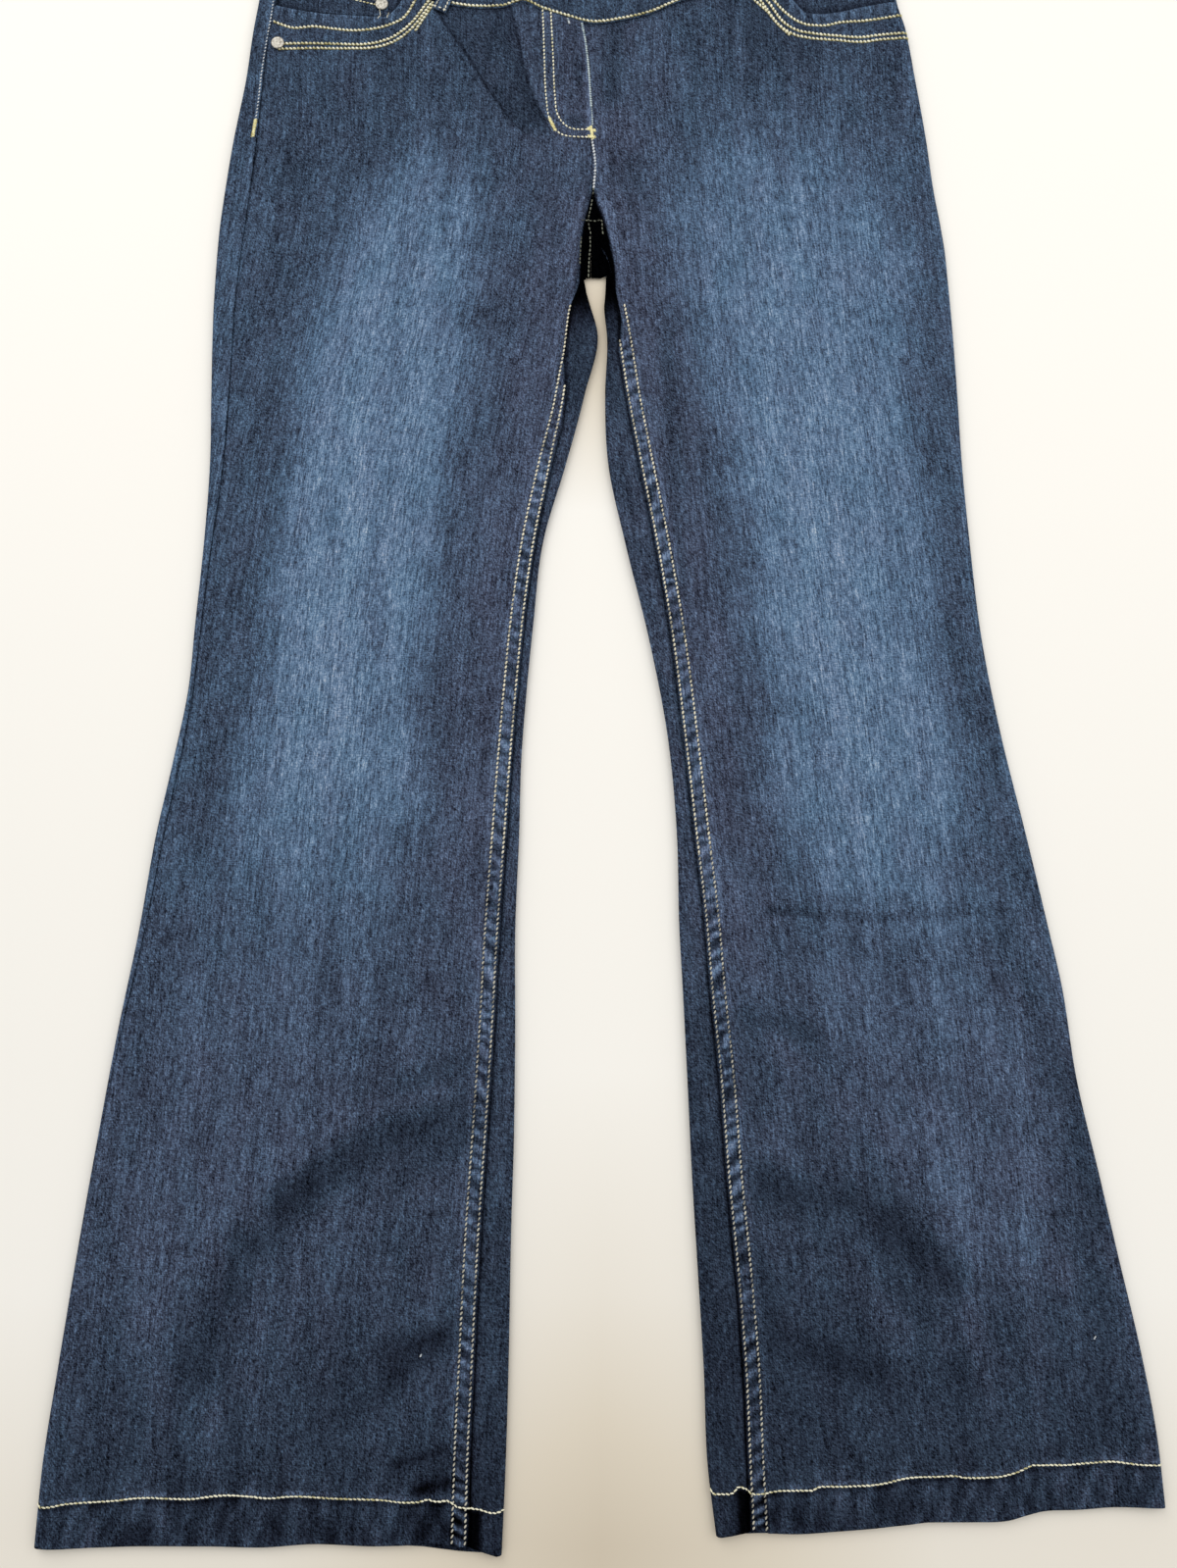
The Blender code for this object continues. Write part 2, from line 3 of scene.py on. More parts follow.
import bpy
import numpy as np
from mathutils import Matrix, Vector


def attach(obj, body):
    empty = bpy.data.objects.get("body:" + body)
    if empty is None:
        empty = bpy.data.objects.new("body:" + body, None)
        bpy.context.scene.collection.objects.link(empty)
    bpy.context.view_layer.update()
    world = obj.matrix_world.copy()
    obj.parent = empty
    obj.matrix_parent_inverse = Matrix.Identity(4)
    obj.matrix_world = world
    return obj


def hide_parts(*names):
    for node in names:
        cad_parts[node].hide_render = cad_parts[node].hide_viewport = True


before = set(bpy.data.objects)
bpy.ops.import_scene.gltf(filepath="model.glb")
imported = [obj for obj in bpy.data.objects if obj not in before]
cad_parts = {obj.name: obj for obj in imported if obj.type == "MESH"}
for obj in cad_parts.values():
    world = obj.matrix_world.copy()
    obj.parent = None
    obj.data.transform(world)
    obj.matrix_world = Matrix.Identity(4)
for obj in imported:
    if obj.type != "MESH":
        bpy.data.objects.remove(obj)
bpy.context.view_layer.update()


# ---------------------------------------------------------------------------------------------
# Front panels of the legs. Stretch denim, cut in two, dyed dark and washed pale down each thigh.
# They are joined in the centre, lapped over the back panels at the inseam, and turned up at the hem.
# Places are in millimetres: across the garment, along it towards the waist, and above the floor.

MIDDLE_ACROSS, MIDDLE_ALONG = 6.5, 237.0
FOLD_RADIUS, CROTCH_RADIUS = 2.8, 1.8
LEG_HEIGHT, HIP_HEIGHT, GROOVE_HEIGHT, BULGE = 3.9, 4.8, 3.7, 2.9
DENIM_WALL = 1.0
INSEAM_GAUGE = 3.5
INSEAM_LAP = 5.7
CROSS_ALONG = 457.0
PANEL_TOP = 588.0


def table(columns, *rows):
    """Rows of numbers as named columns."""
    return dict(zip(columns.split(), zip(*rows)))


RIGHT_LEG = table(
    "along edge side inner_seam inner",
    (-312,   -297,   -297, -69.5, -46.5),
    (-270, -295.3, -295.3,   -69, -44.9),
    (-220, -290.2, -290.2, -67.3, -43.8),
    (-146, -281.9, -281.3, -64.5,   -43),
    ( -93, -275.3,   -274, -61.4, -41.9),
    ( -39, -268.1, -265.5, -58.5, -41.8),
    (  16, -259.5, -255.5, -56.1, -42.3),
    (  73, -252.4, -247.3, -52.5, -40.5),
    ( 115,   -245, -240.5, -49.9, -39.7),
    ( 160,   -238, -234.4, -46.6, -36.7),
    ( 199,   -236, -231.8, -43.3, -33.2),
    ( 252, -233.1, -227.6, -36.5, -27.3),
    ( 300,   -232, -223.4,   -27,   -14),
    ( 346, -233.4,   -222, -16.6,  -2.4),
    ( 388, -234.5, -221.3, -13.5,   5.5),
    ( 405, -234.7, -220.9,   -11,   1.2),
    ( 421, -234.5,   -220,  -5.2,  -2.8),
    ( 440, -234.1, -218.8,    -2,    -2),
    ( 457, -233.4, -217.2,   1.5,   1.5),
    ( 483, -231.2, -214.8,   1.5,   1.5),
    ( 519, -227.3, -212.2,   1.5,   1.5),
    ( 561, -221.2, -209.5,   1.5,   1.5),
    ( 599, -217.6, -206.5,   1.5,   1.5),
    ( 618, -215.1, -203.6,   1.5,   1.5),
    ( 660,   -211, -199.5,   1.5,   1.5),
    ( 702,   -208, -196.5,   1.5,   1.5),
    ( 790,   -194,   -183,   1.5,   1.5),
)
LEFT_LEG = table(
    "along edge side inner_seam inner",
    (-307, 310.5, 310.5,   92, 68.5),
    (-272, 308.7, 308.7, 90.9, 64.5),
    (-223, 302.7, 302.7, 89.6, 63.1),
    (-172, 294.3, 294.3, 86.3, 60.6),
    (-120, 285.8, 285.8, 82.1,   58),
    ( -66, 276.4, 276.4, 78.7,   56),
    ( -12, 270.8, 270.8,   74, 53.8),
    (  16, 265.8, 265.8, 72.2, 52.5),
    (  73, 255.3, 255.3, 66.5, 51.6),
    ( 131,   244,   244, 60.7, 46.8),
    ( 190, 235.4, 235.4, 54.2, 36.3),
    ( 252,   231,   231, 44.8, 21.9),
    ( 300, 228.8, 228.8,   36, 12.2),
    ( 346,   228,   228, 27.8, 10.3),
    ( 383, 227.1, 227.1, 22.5, 11.6),
    ( 405, 226.3, 226.3, 18.8,  9.8),
    ( 424, 225.4, 225.4,   15, 11.1),
    ( 440, 224.6, 224.6,   11,   11),
    ( 457, 222.8, 222.8,  1.5,  1.5),
    ( 483, 219.3, 219.3,  1.5,  1.5),
    ( 519,   216,   216,  1.5,  1.5),
    ( 561, 210.9, 210.9,  1.5,  1.5),
    ( 599, 205.6, 205.6,  1.5,  1.5),
    ( 618,   201,   199,  1.5,  1.5),
    ( 632, 199.5, 193.5,  1.5,  1.5),
    ( 660,   197,   191,  1.5,  1.5),
    ( 702,   194,   188,  1.5,  1.5),
    ( 790,   180,   174,  1.5,  1.5),
)
CENTRE_FRONT = table(
    "along across",
    (457,  1.5),
    (470,  2.3),
    (483,  2.6),
    (519,  1.9),
    (561,    0),
    (599, -3.2),
    (625, -4.5),
)
RIGHT_MOUTH = table(
    "across along",
    (  -211,   616),
    (  -181, 610.1),
    (  -146, 607.2),
    (  -132, 606.6),
    (-126.2, 611.5),
    (-122.5,   617),
    (  -118, 626.6),
)
LEFT_MOUTH = table(
    "across along",
    (  121, 634.3),
    (  127,   626),
    (  134, 617.9),
    (  141, 609.8),
    (  149, 608.5),
    (160.6, 609.7),
    (178.5, 613.6),
    (  201, 617.2),
)
WAIST_SEAM = table(
    "across along",
    (-211,   664),
    (-160,   645),
    (-118, 626.6),
    (-103, 619.5),
    ( -89, 614.7),
    ( -66, 612.2),
    ( -52, 613.5),
    ( -43,   617),
    ( -31, 611.5),
    ( -15, 605.8),
    (   3, 600.8),
    (  20,   603),
    (  41, 608.6),
    (  59,   617),
    (  80,   622),
    ( 100,   627),
    ( 121, 634.3),
    ( 160,   650),
    ( 197,   664),
)
# Main creases, each a soft ridge or trough along one line.
FOLDS = table(
    "across_0 along_0 across_1 along_1 width height",
    ( -47,  612,  -35,  552,  6,  0.6),
    (-105, -270.7, -76, -262, 2.6, -1.0),
    ( -93, -283,  -73, -278, 3.2, -1.3),
    ( -80, -270,  -73, -268,   3, -0.6),
    ( -71,  -84, -106,  -97, 12, -0.8),
    (-130, -107, -172, -131, 13, -0.9),
    (-193, -156, -211, -222, 14, -0.8),
    ( -84, -206, -110, -212,  7, -0.8),
    (-132, -222, -150, -252, 11, -0.35),
    ( 104,   37,  238,   37,  8,  0.9),
    ( 104, 28.5,  165, 24.2, 3.2, -0.8),
    ( 171, 24.2,  238, 28.5, 3.2, -0.8),
    ( 128,   35,  160,   33, 2.6, -0.45),
    ( 120,    8,  232,   10, 16, -0.3),
    (  84,  -26,  117,  -36,  9,  0.8),
    ( 100, -124,  143, -135, 12, -0.75),
    ( 166, -145,  200, -174, 12, -0.85),
    ( 190,  -60,  194,  -66, 11, -0.35),
    ( 104, -206,  155, -223, 10, -0.6),
    ( 208, -195,  228, -250, 10,  0.8),
    ( 158,  458,  205,  485,  5,  0.6),
    (  21,  512,   42,  468,  3, -0.22),
    (  31,  508,   52,  466, 3.5, -0.2),
    (  14,  502,   31,  462, 2.5, -0.2),
    (-150,  330, -160,  120, 34,  0.8),
    ( 190,  330,  175,  120, 30,  0.7),
    ( 120,  -90,  165, -110, 20,  0.7),
)
# Where the wash is dark and where it is pale: grey levels out of 255, and the pale band's two edges
# as shares of the way from the outer edge to the inner seam.
RIGHT_WASH = table(
    "along dark pale outer inner",
    (-312, 47,  50, 0.30, 0.60),
    (-282, 53,  57, 0.20, 0.60),
    (-260, 58,  62, 0.20, 0.50),
    (-225, 64,  68, 0.20, 0.50),
    (-200, 66,  73, 0.18, 0.50),
    (-150, 70,  80, 0.12, 0.50),
    ( -90, 72,  80, 0.10, 0.60),
    ( -30, 74,  80, 0.15, 0.65),
    (   0, 75,  84, 0.20, 0.68),
    (  30, 75,  90, 0.20, 0.72),
    (  60, 76, 101, 0.20, 0.73),
    (  90, 77, 110, 0.20, 0.73),
    ( 120, 76, 115, 0.22, 0.72),
    ( 210, 75, 116, 0.23, 0.71),
    ( 330, 77, 114, 0.26, 0.71),
    ( 390, 77, 112, 0.29, 0.73),
    ( 445, 73, 107, 0.36, 0.70),
    ( 470, 72, 103, 0.38, 0.70),
    ( 495, 70,  94, 0.42, 0.70),
    ( 520, 71,  76, 0.45, 0.74),
    ( 560, 66,  63, 0.45, 0.75),
    ( 620, 68,  62, 0.45, 0.75),
)
LEFT_WASH = table(
    "along dark pale outer inner",
    (-307, 52,  52, 0.50, 0.60),
    (-265, 54,  58, 0.25, 0.60),
    (-230, 56,  64, 0.20, 0.50),
    (-200, 60,  66, 0.20, 0.50),
    (-150, 65,  80, 0.15, 0.45),
    (-120, 67,  83, 0.12, 0.50),
    ( -90, 68,  84, 0.12, 0.60),
    ( -40, 66,  84, 0.12, 0.68),
    (   0, 76,  88, 0.20, 0.70),
    (  30, 78,  92, 0.30, 0.70),
    (  60, 78, 105, 0.25, 0.71),
    (  90, 77, 112, 0.18, 0.73),
    ( 120, 77, 113, 0.16, 0.74),
    ( 210, 76, 117, 0.16, 0.73),
    ( 330, 76, 112, 0.16, 0.75),
    ( 370, 76, 109, 0.15, 0.76),
    ( 400, 78, 110, 0.12, 0.77),
    ( 430, 79, 108, 0.12, 0.77),
    ( 470, 75, 105, 0.15, 0.74),
    ( 495, 75, 100, 0.17, 0.71),
    ( 520, 77,  87, 0.20, 0.68),
    ( 545, 74,  74, 0.30, 0.60),
    ( 590, 71,  61, 0.30, 0.60),
    ( 630, 68,  60, 0.30, 0.60),
)
# Soft marks in the wash: darker along the drag folds of the shins, beside the left inseam and on the
# hems, and pale where the cloth rubbed, on the knees, the thighs and between the folds.
TONE_MARKS = table(
    "across_0 along_0 across_1 along_1 width tone",
    ( -65,  -55, -105,  -70,  8, -12),
    ( -70, -100, -105, -120,  8, -12),
    (-155, -125, -180, -155,  8, -12),
    ( -75, -200, -105, -225, 10, -14),
    (-105, -225, -130, -245,  7,  -9),
    ( -85, -300,  -70, -305, 11, -20),
    (-170, -300, -145, -305,  9, -16),
    (-185,  135, -195,   90, 10,  -9),
    (-240,  -25, -250, -105, 11,  -7),
    (-165,  350, -170,  325, 12,  -8),
    ( -90,  415, -100,  340,  9,  -7),
    ( -85,  -75, -135,  -85,  7,   8),
    (-135,  -95, -185, -125,  7,   7),
    (-115,  485, -135,  355,  6,   7),
    ( -60,  575,  -50,  475,  8,   7),
    ( -95,  245,  -90,  225,  9,   9),
    (-195, -195, -190, -230,  8,   9),
    ( 180,   20,  225,   25, 12,  15),
    ( 165,   80,  170,   50,  9,  14),
    ( 160,  565,  150,  510, 12,  12),
    ( 165,  410,  165,  385, 12,  12),
    ( 105,  -45,  170, -100,  7,   8),
    ( 100, -100,  145, -145,  7,   8),
    ( 150, -160,  170, -210,  8,   9),
    ( 235, -150,  260, -170, 11,  12),
    ( 255, -275,  280, -275,  9,  10),
    ( 135,  350,  145,  175,  7,   7),
    ( 185,  285,  190,  190,  8, -14),
    ( 190,  130,  200,  100, 11,  -9),
    (  50,  400,   55,  190,  7,  -9),
    (  90,  -30,  125,  -40,  7, -11),
    ( 275,  -60,  285, -140,  9, -11),
    (  90, -160,  105, -195,  7, -12),
    ( 140, -155,  190, -195,  7,  -8),
    ( 205, -225,  210, -295, 10, -12),
    ( 100, -295,  145, -300, 10, -18),
    (  15,  595,   15,  550,  9, -14),
)
# The line of the warp threads, which lean with each leg.
RIGHT_GRAIN = table(
    "along across",
    (-312, -176),
    (-100, -160),
    ( 100, -146),
    ( 300, -126),
    ( 450, -101),
    ( 540,  -93),
    ( 640,  -93),
)
LEFT_GRAIN = table(
    "along across",
    (-307, 196),
    (-100, 180),
    ( 100, 158),
    ( 300, 136),
    ( 450, 118),
    ( 540, 110),
    ( 640, 108),
)
# Rows of topstitching near which the cloth is drawn in.
RIGHT_HEM_ROW = [
    (-299, -289.2), (-296.4, -289), (-294.7, -290.3), (-280.8, -289.2), (-256.4, -288), (-241.7, -286.5),
    (-213.8, -286.9), (-197.5, -285.2), (-182.7, -285.7), (-172.8, -286.6), (-159.7, -285.7),
    (-135.9, -286.8), (-109.6, -287.7), (-99.7, -288.7), (-91.5, -288.4), (-86.6, -287.2), (-81.6, -288.1),
    (-75.2, -287.7), (-70.2, -290.3), (-58.7, -291.5), (-50.5, -293.3), (-45.3, -292.1),
]
LEFT_HEM_ROW = [
    (63, -281.6), (65.8, -282.2), (67.5, -283.9), (75.2, -283.9), (78, -283.1), (80.5, -280.6),
    (83, -280.9), (88.6, -283.8), (97, -283.5), (104, -282.8), (119.5, -282.8), (125.2, -280.9),
    (142.1, -280.6), (159, -279.3), (170.4, -276.7), (190.2, -275.7), (198.3, -275.4), (203.2, -276.3),
    (218.7, -276.1), (230, -274.1), (241.6, -270), (255.6, -270), (269.8, -268.9), (284, -268.2),
    (293.8, -269.1), (311, -269.6),
]
# The turned-up bottom edges, which dip where the inner folds hang out a little.
RIGHT_HEM_EDGE = table(
    "across along",
    (-297, -311), (-287, -311.5), (-263, -311), (-239, -310.3), (-206, -310.3), (-173, -310.9),
    (-148, -309.3), (-114, -310.3), (-98, -309.9), (-86, -308.9), (-70, -309.9), (-56.6, -310.9),
    (-55.8, -315.4), (-53, -316.8), (-49, -316.8), (-46.3, -314.8),
)
LEFT_HEM_EDGE = table(
    "across along",
    (68.3, -305.5), (70.6, -307.2), (74.4, -308), (78, -307.2), (79.5, -304.5), (80.2, -303.2),
    (93.5, -302.8), (98, -303.8), (116, -304.3), (131.5, -303.2), (150, -301.9), (171, -299.8),
    (184, -298.4), (212, -298.4), (226, -297.6), (236, -294.9), (246, -292.8), (263, -292.3),
    (283, -290.9), (309, -291.1),
)
RIGHT_POCKET_ROWS = [
    [(-203.5, 601.6), (-192, 597.6), (-178, 598.7), (-165, 597), (-152.5, 595.8), (-130.4, 599.4),
     (-120.9, 604.4), (-113, 617.9), (-110.5, 623)],
    [(-200, 586.1), (-180, 586.4), (-164.9, 586.2), (-145.9, 585.9), (-127, 590.8), (-114.5, 602.2),
     (-105.3, 615.8), (-103, 619)],
    [(-200, 582.5), (-180, 583.2), (-164.8, 583.1), (-145.8, 583.1), (-126.9, 587.3), (-114.4, 597.9),
     (-105.2, 611.5), (-101.5, 617)],
    [(-111.9, 596.5), (-107, 605.1), (-101.4, 614.4)],
]
LEFT_POCKET_ROWS = [
    [(116, 625), (120.6, 617.9), (127.4, 609.4), (136.2, 602.2), (143.7, 599.7), (153.9, 599.4),
     (162.2, 601.5), (178.2, 602.6), (203.6, 606.1)],
    [(111.5, 624), (116.2, 617.9), (128.5, 600.1), (135.4, 595.8), (142.3, 594.2), (160, 592),
     (177.7, 590.8), (186.6, 592), (206.6, 593.2)],
    [(109.5, 622), (113.8, 615.2), (126.3, 597.6), (133.8, 592.7), (141.6, 590.7), (160, 588.8),
     (177.7, 587.5), (186.6, 588.7), (207.2, 590)],
    [(105, 622), (108.5, 617.9), (116, 610.1), (124, 599.4), (129.9, 593.3)],
]


def read(rows, column, at):
    """A column of a table at values of its first column, on a smooth curve through its rows."""
    keys = np.array(next(iter(rows.values())), float)
    values = np.array(rows[column], float)
    steps = np.diff(values) / np.diff(keys)
    limit = 3 * np.minimum(np.abs(np.append(steps, steps[-1])), np.abs(np.insert(steps, 0, steps[0])))
    slopes = np.clip(np.gradient(values, keys), -limit, limit)
    at = np.clip(at, keys[0], keys[-1])
    i = np.clip(np.searchsorted(keys, at, side="right") - 1, 0, len(keys) - 2)
    span = keys[i + 1] - keys[i]
    u = (at - keys[i]) / span
    start = (1 + 2 * u) * (1 - u) ** 2 * values[i] + u * (1 - u) ** 2 * span * slopes[i]
    return start + u * u * (3 - 2 * u) * values[i + 1] - u * u * (1 - u) * span * slopes[i + 1]


def ease(low, high, at):
    """0 below low, 1 above high and a smooth step between."""
    u = np.clip((at - low) / (high - low), 0, 1)
    return u * u * (3 - 2 * u)


def hump(distance, width):
    """1 at a distance of 0, fading out over a width to either side."""
    return np.exp(-((distance / width) ** 2))


def rumple(x, y, seed):
    """Smooth random heights between -1 and 1, one cell to a unit."""
    lattice = np.random.default_rng(seed).uniform(-1, 1, (64, 64))
    i, j = (np.floor(np.nan_to_num(place)).astype(int) for place in (x, y))
    u, v = ease(0, 1, x - i), ease(0, 1, y - j)
    near = lattice[i % 64, j % 64] * (1 - v) + lattice[i % 64, (j + 1) % 64] * v
    far = lattice[(i + 1) % 64, j % 64] * (1 - v) + lattice[(i + 1) % 64, (j + 1) % 64] * v
    return near * (1 - u) + far * u


def line_distance(across, along, points):
    """How far each place is from a line through points."""
    nearest = np.full(np.shape(across), 1e9)
    for (x0, y0), (x1, y1) in zip(points, points[1:]):
        run_x, run_y = x1 - x0, y1 - y0
        share = np.clip(((across - x0) * run_x + (along - y0) * run_y) / (run_x ** 2 + run_y ** 2), 0, 1)
        nearest = np.minimum(nearest, np.hypot(across - x0 - share * run_x, along - y0 - share * run_y))
    return nearest


def stroke(across, along, x0, y0, x1, y1, width):
    """1 on a line between two places, fading out over a width to either side."""
    return hump(line_distance(across, along, [(x0, y0), (x1, y1)]), width)


def folds_at(across, along, lowest=-9, highest=9):
    """Height that the main creases add."""
    total = 0
    for *line, height in zip(*FOLDS.values()):
        if lowest < height < highest:
            total = total + height * stroke(across, along, *line)
    return total


def inner_seam(leg, along):
    """The inseam below the crotch and the centre front seam above it."""
    return np.where(along < CROSS_ALONG, read(leg, "inner_seam", along),
                    read(CENTRE_FRONT, "across", along))


def leg_share(leg, across, along):
    """Share of the way from a leg's outer edge to its inseam."""
    edge = read(leg, "edge", along)
    return np.abs(across - edge) / np.abs(read(leg, "inner_seam", along) - edge)


def inner_radius(along):
    """Radius of the inner fold, which is tighter at the crotch."""
    return FOLD_RADIUS + (CROTCH_RADIUS - FOLD_RADIUS) * ease(388, 421, along)


def hem_line(leg, across):
    """How far along the turned-up bottom edge lies."""
    return read(RIGHT_HEM_EDGE if leg is RIGHT_LEG else LEFT_HEM_EDGE, "along", across)


def past_hem_row(leg, across, along):
    """How far past the row of topstitching at the hem a place lies, towards the knee."""
    return along - np.interp(across, *zip(*(RIGHT_HEM_ROW if leg is RIGHT_LEG else LEFT_HEM_ROW)))


def from_hem(leg, across, level):
    """Where a level above the hem lies once the hem's own line has pulled at it."""
    start = leg["along"][0]
    return start + level + (hem_line(leg, across) - start) * (1 - ease(0, 240, level))


def upper_height(leg, across, along):
    """Height of the upper face at a place, away from the round of its edges."""
    base = LEG_HEIGHT + (HIP_HEIGHT - LEG_HEIGHT) * ease(535, 580, along)
    edge = np.abs(read(leg, "edge", along) - across)
    height = base + (2 * FOLD_RADIUS - base) * hump(np.maximum(edge - FOLD_RADIUS, 0), 15)
    seam = np.abs(inner_seam(leg, along) - across)
    inner = np.abs(read(leg, "inner", along) - across)
    below = np.where(along < CROSS_ALONG, 1.0, 0.0)
    height = height + below * (2 * inner_radius(along) - base) * (1 - ease(400, 425, along)) * hump(inner, 26)
    height = height + below * 0.6 * (1 - ease(4.5, 7, seam)) * (1 - ease(395, 420, along))
    closeness = ease(385, 425, along) * (1 - ease(462, 500, along))
    groove = (GROOVE_HEIGHT - base) * hump(seam, 4)
    bulge = BULGE * ease(1, 9, seam) * hump(np.maximum(seam - 9, 0), 26)
    height = height + closeness * (groove + bulge)
    away = ease(6, 16, edge) * (1 - closeness * (1 - ease(10, 30, seam)))
    return height + away * folds_at(across, along)


def inseam_puckers(leg, across, along):
    """Ridges across the lapped inseam, as -1 to 1, fading out beside its two rows of stitches."""
    seam = across - inner_seam(leg, along)
    side = 1 if leg is RIGHT_LEG else -1
    wander = 1.1 * rumple(along / 17, along * 0 + side, 11) + 0.5 * rumple(along / 6, along * 0 + side, 12)
    wave = np.sin(2 * np.pi * (along + 0.55 * side * seam) / 8.3 + 3.2 * wander)
    uneven = 0.65 + 0.35 * rumple(along / 9, seam / 5, 13)
    inside = 1 - ease(2.6, 4.2, np.abs(seam))
    low, high = (322, 352) if leg is RIGHT_LEG else (372, 395)
    return wave * uneven * (inside + 0.25 * (1 - inside) * hump(seam, 7)) * (1 - ease(low, high, along))


def hem_roping(across, edge):
    """Slanting ridges that the turned-up hem twists into, as -1 to 1."""
    return np.sin(2 * np.pi * (across - 0.3 * edge) / 14 + 4 * rumple(across / 23, edge / 40, 21))


def stitched_relief(leg, across, along):
    """What the stitching and the turned edges do to the cloth, as a height."""
    seam = np.abs(across - inner_seam(leg, along))
    below = 1 - ease(385, 402, along)
    height = below * (0.26 * inseam_puckers(leg, across, along) - 0.28 * hump(seam - INSEAM_GAUGE, 0.75))
    over, edge = past_hem_row(leg, across, along), along - hem_line(leg, across)
    height = height + 0.5 * (1 - ease(0.6, 2.6, over)) - 0.4 * hump(over, 0.9)
    band = ease(1.5, 6, edge) * (1 - ease(-3, 0, over))
    roping = hem_roping(across, edge)
    height = height + 0.45 * band * roping * (0.6 + 0.6 * rumple(across / 19, edge / 11, 22))
    height = height + 0.2 * hump(over - 4, 4) * roping
    top = ease(560, 575, along)
    for line in (RIGHT_POCKET_ROWS if leg is RIGHT_LEG else LEFT_POCKET_ROWS):
        height = height - 0.3 * top * hump(line_distance(across, along, line), 1.0)
    return height


# Edges of the sharp fold that runs from the right belt loop towards the fly, and the two walls of the
# hollow at the crotch, whose inside is painted near black as shade.
FOLD_START = table(
    "along across",
    (500, -24), (522.6, -40.1), (530.9, -48.9), (542, -56.5), (557.2, -66.7), (575.4, -77),
    (603.7, -95.2), (620, -104),
)
FOLD_END = table(
    "along across",
    (500, -14), (533.6, -27.6), (547.5, -34), (567, -40.4), (589.5, -44.4), (612.2, -49.6), (620, -51),
)
RIGHT_WALL = table(
    "along across",
    (424.4, -6), (452, -4.6), (467.1, -1.7), (482.2, 1.8), (492, 3.2),
)
LEFT_WALL = table(
    "along across",
    (407.5, 17.5), (428.6, 16.9), (445.6, 14), (464.9, 9.2), (480, 4.4), (492, 3.2),
)


def past_fold(across, along):
    """Distances past the two edges of the sharp fold, square to them."""
    return (0.83 * (across - read(FOLD_START, "across", along)),
            0.95 * (across - read(FOLD_END, "across", along)))


def sharp_fold(across, along):
    """Height that the sharp fold adds on the right hip, and its painted shade and highlight as a grey level."""
    start, end = past_fold(across, along)
    there = ease(514, 538, along)
    height = (-0.55 * ease(-0.8, 0.8, start) * (1 - ease(2, 20, start))
              + 0.4 * ease(-0.8, 0.8, end) * hump(end, 12))
    between = ease(-1, 1, start) * (1 - ease(-1, 1, end))
    # Painted highlight beside the fold's edges and painted shade between and below them.
    tone = 4 * hump(start + 2, 2) - 5 * hump(start - 4, 4)
    tone = tone - between * (3 + 11 * (1 - ease(530, 565, along)))
    tone = tone - 12 * between * hump(end + 2, 5) + 9 * hump(end - 2, 2.6)
    return there * height, there * tone


def fold_line(across, along):
    """Distances past the sharp fold's edges, for the thin painted shadow line at each, and how strong they are.
    """
    start, end = past_fold(across, along)
    return np.stack([start, ease(510, 540, along), end], -1)


def crotch_hollow(across, along):
    """1 inside the hollow at the crotch, which is painted near black as shade, and 0 outside it."""
    inside = (ease(-0.5, 0.9, across - read(RIGHT_WALL, "across", along))
              * ease(-0.5, 0.9, read(LEFT_WALL, "across", along) - across))
    return inside * ease(400, 424, along) * (1 - ease(482, 490, along))


def unevenness(across, along, seed):
    """Small lie of washed cloth that no crease accounts for."""
    return (0.22 * rumple(across / 38, along / 52, seed) + 0.12 * rumple(across / 15, along / 19, seed + 1)
            + 0.05 * rumple(across / 6, along / 7, seed + 2))


def seam_turn(leg, along):
    """Arc length from a leg's outer edge up over it to the side seam."""
    inset = np.abs(read(leg, "edge", along) - read(leg, "side", along))
    curved = FOLD_RADIUS * np.arccos(1 - np.minimum(inset, FOLD_RADIUS) / FOLD_RADIUS)
    return np.where(inset < FOLD_RADIUS, curved, FOLD_RADIUS * np.pi / 2 + inset - FOLD_RADIUS)


def over_edge(leg, along, arc):
    """Place and height at an arc length from the outer edge: positive is over it, negative under."""
    edge = read(leg, "edge", along)
    inward = -math.copysign(1, leg["edge"][0])
    quarter = FOLD_RADIUS * np.pi / 2
    angle = np.clip(arc, -quarter, quarter) / FOLD_RADIUS
    straight = np.maximum(np.abs(arc) - quarter, 0)
    across = edge + inward * (FOLD_RADIUS * (1 - np.cos(angle)) + straight)
    rounded = FOLD_RADIUS * (1 + np.sin(angle))
    flat = np.where(arc > 0, upper_height(leg, across, along), 0)
    return across, np.where(np.abs(arc) <= quarter, rounded, flat)


def lap(leg, along):
    """How far the front panel laps over the back panel past the middle of the inseam."""
    low, high = (318, 372) if leg is RIGHT_LEG else (372, 398)
    return 0.1 + (INSEAM_LAP - 0.1) * (1 - ease(low, high, along))


def front_top(leg, across):
    """Top edge of a front panel: the pocket mouth, then the waist seam."""
    mouth = RIGHT_MOUTH if leg is RIGHT_LEG else LEFT_MOUTH
    in_mouth = (across >= mouth["across"][0]) & (across <= mouth["across"][-1])
    waist = read(WAIST_SEAM, "along", across) - 0.3
    beyond = mouth["along"][0 if leg is RIGHT_LEG else -1]
    return np.where(in_mouth, read(mouth, "along", across),
                    np.where(np.abs(across) > 150, beyond, waist))


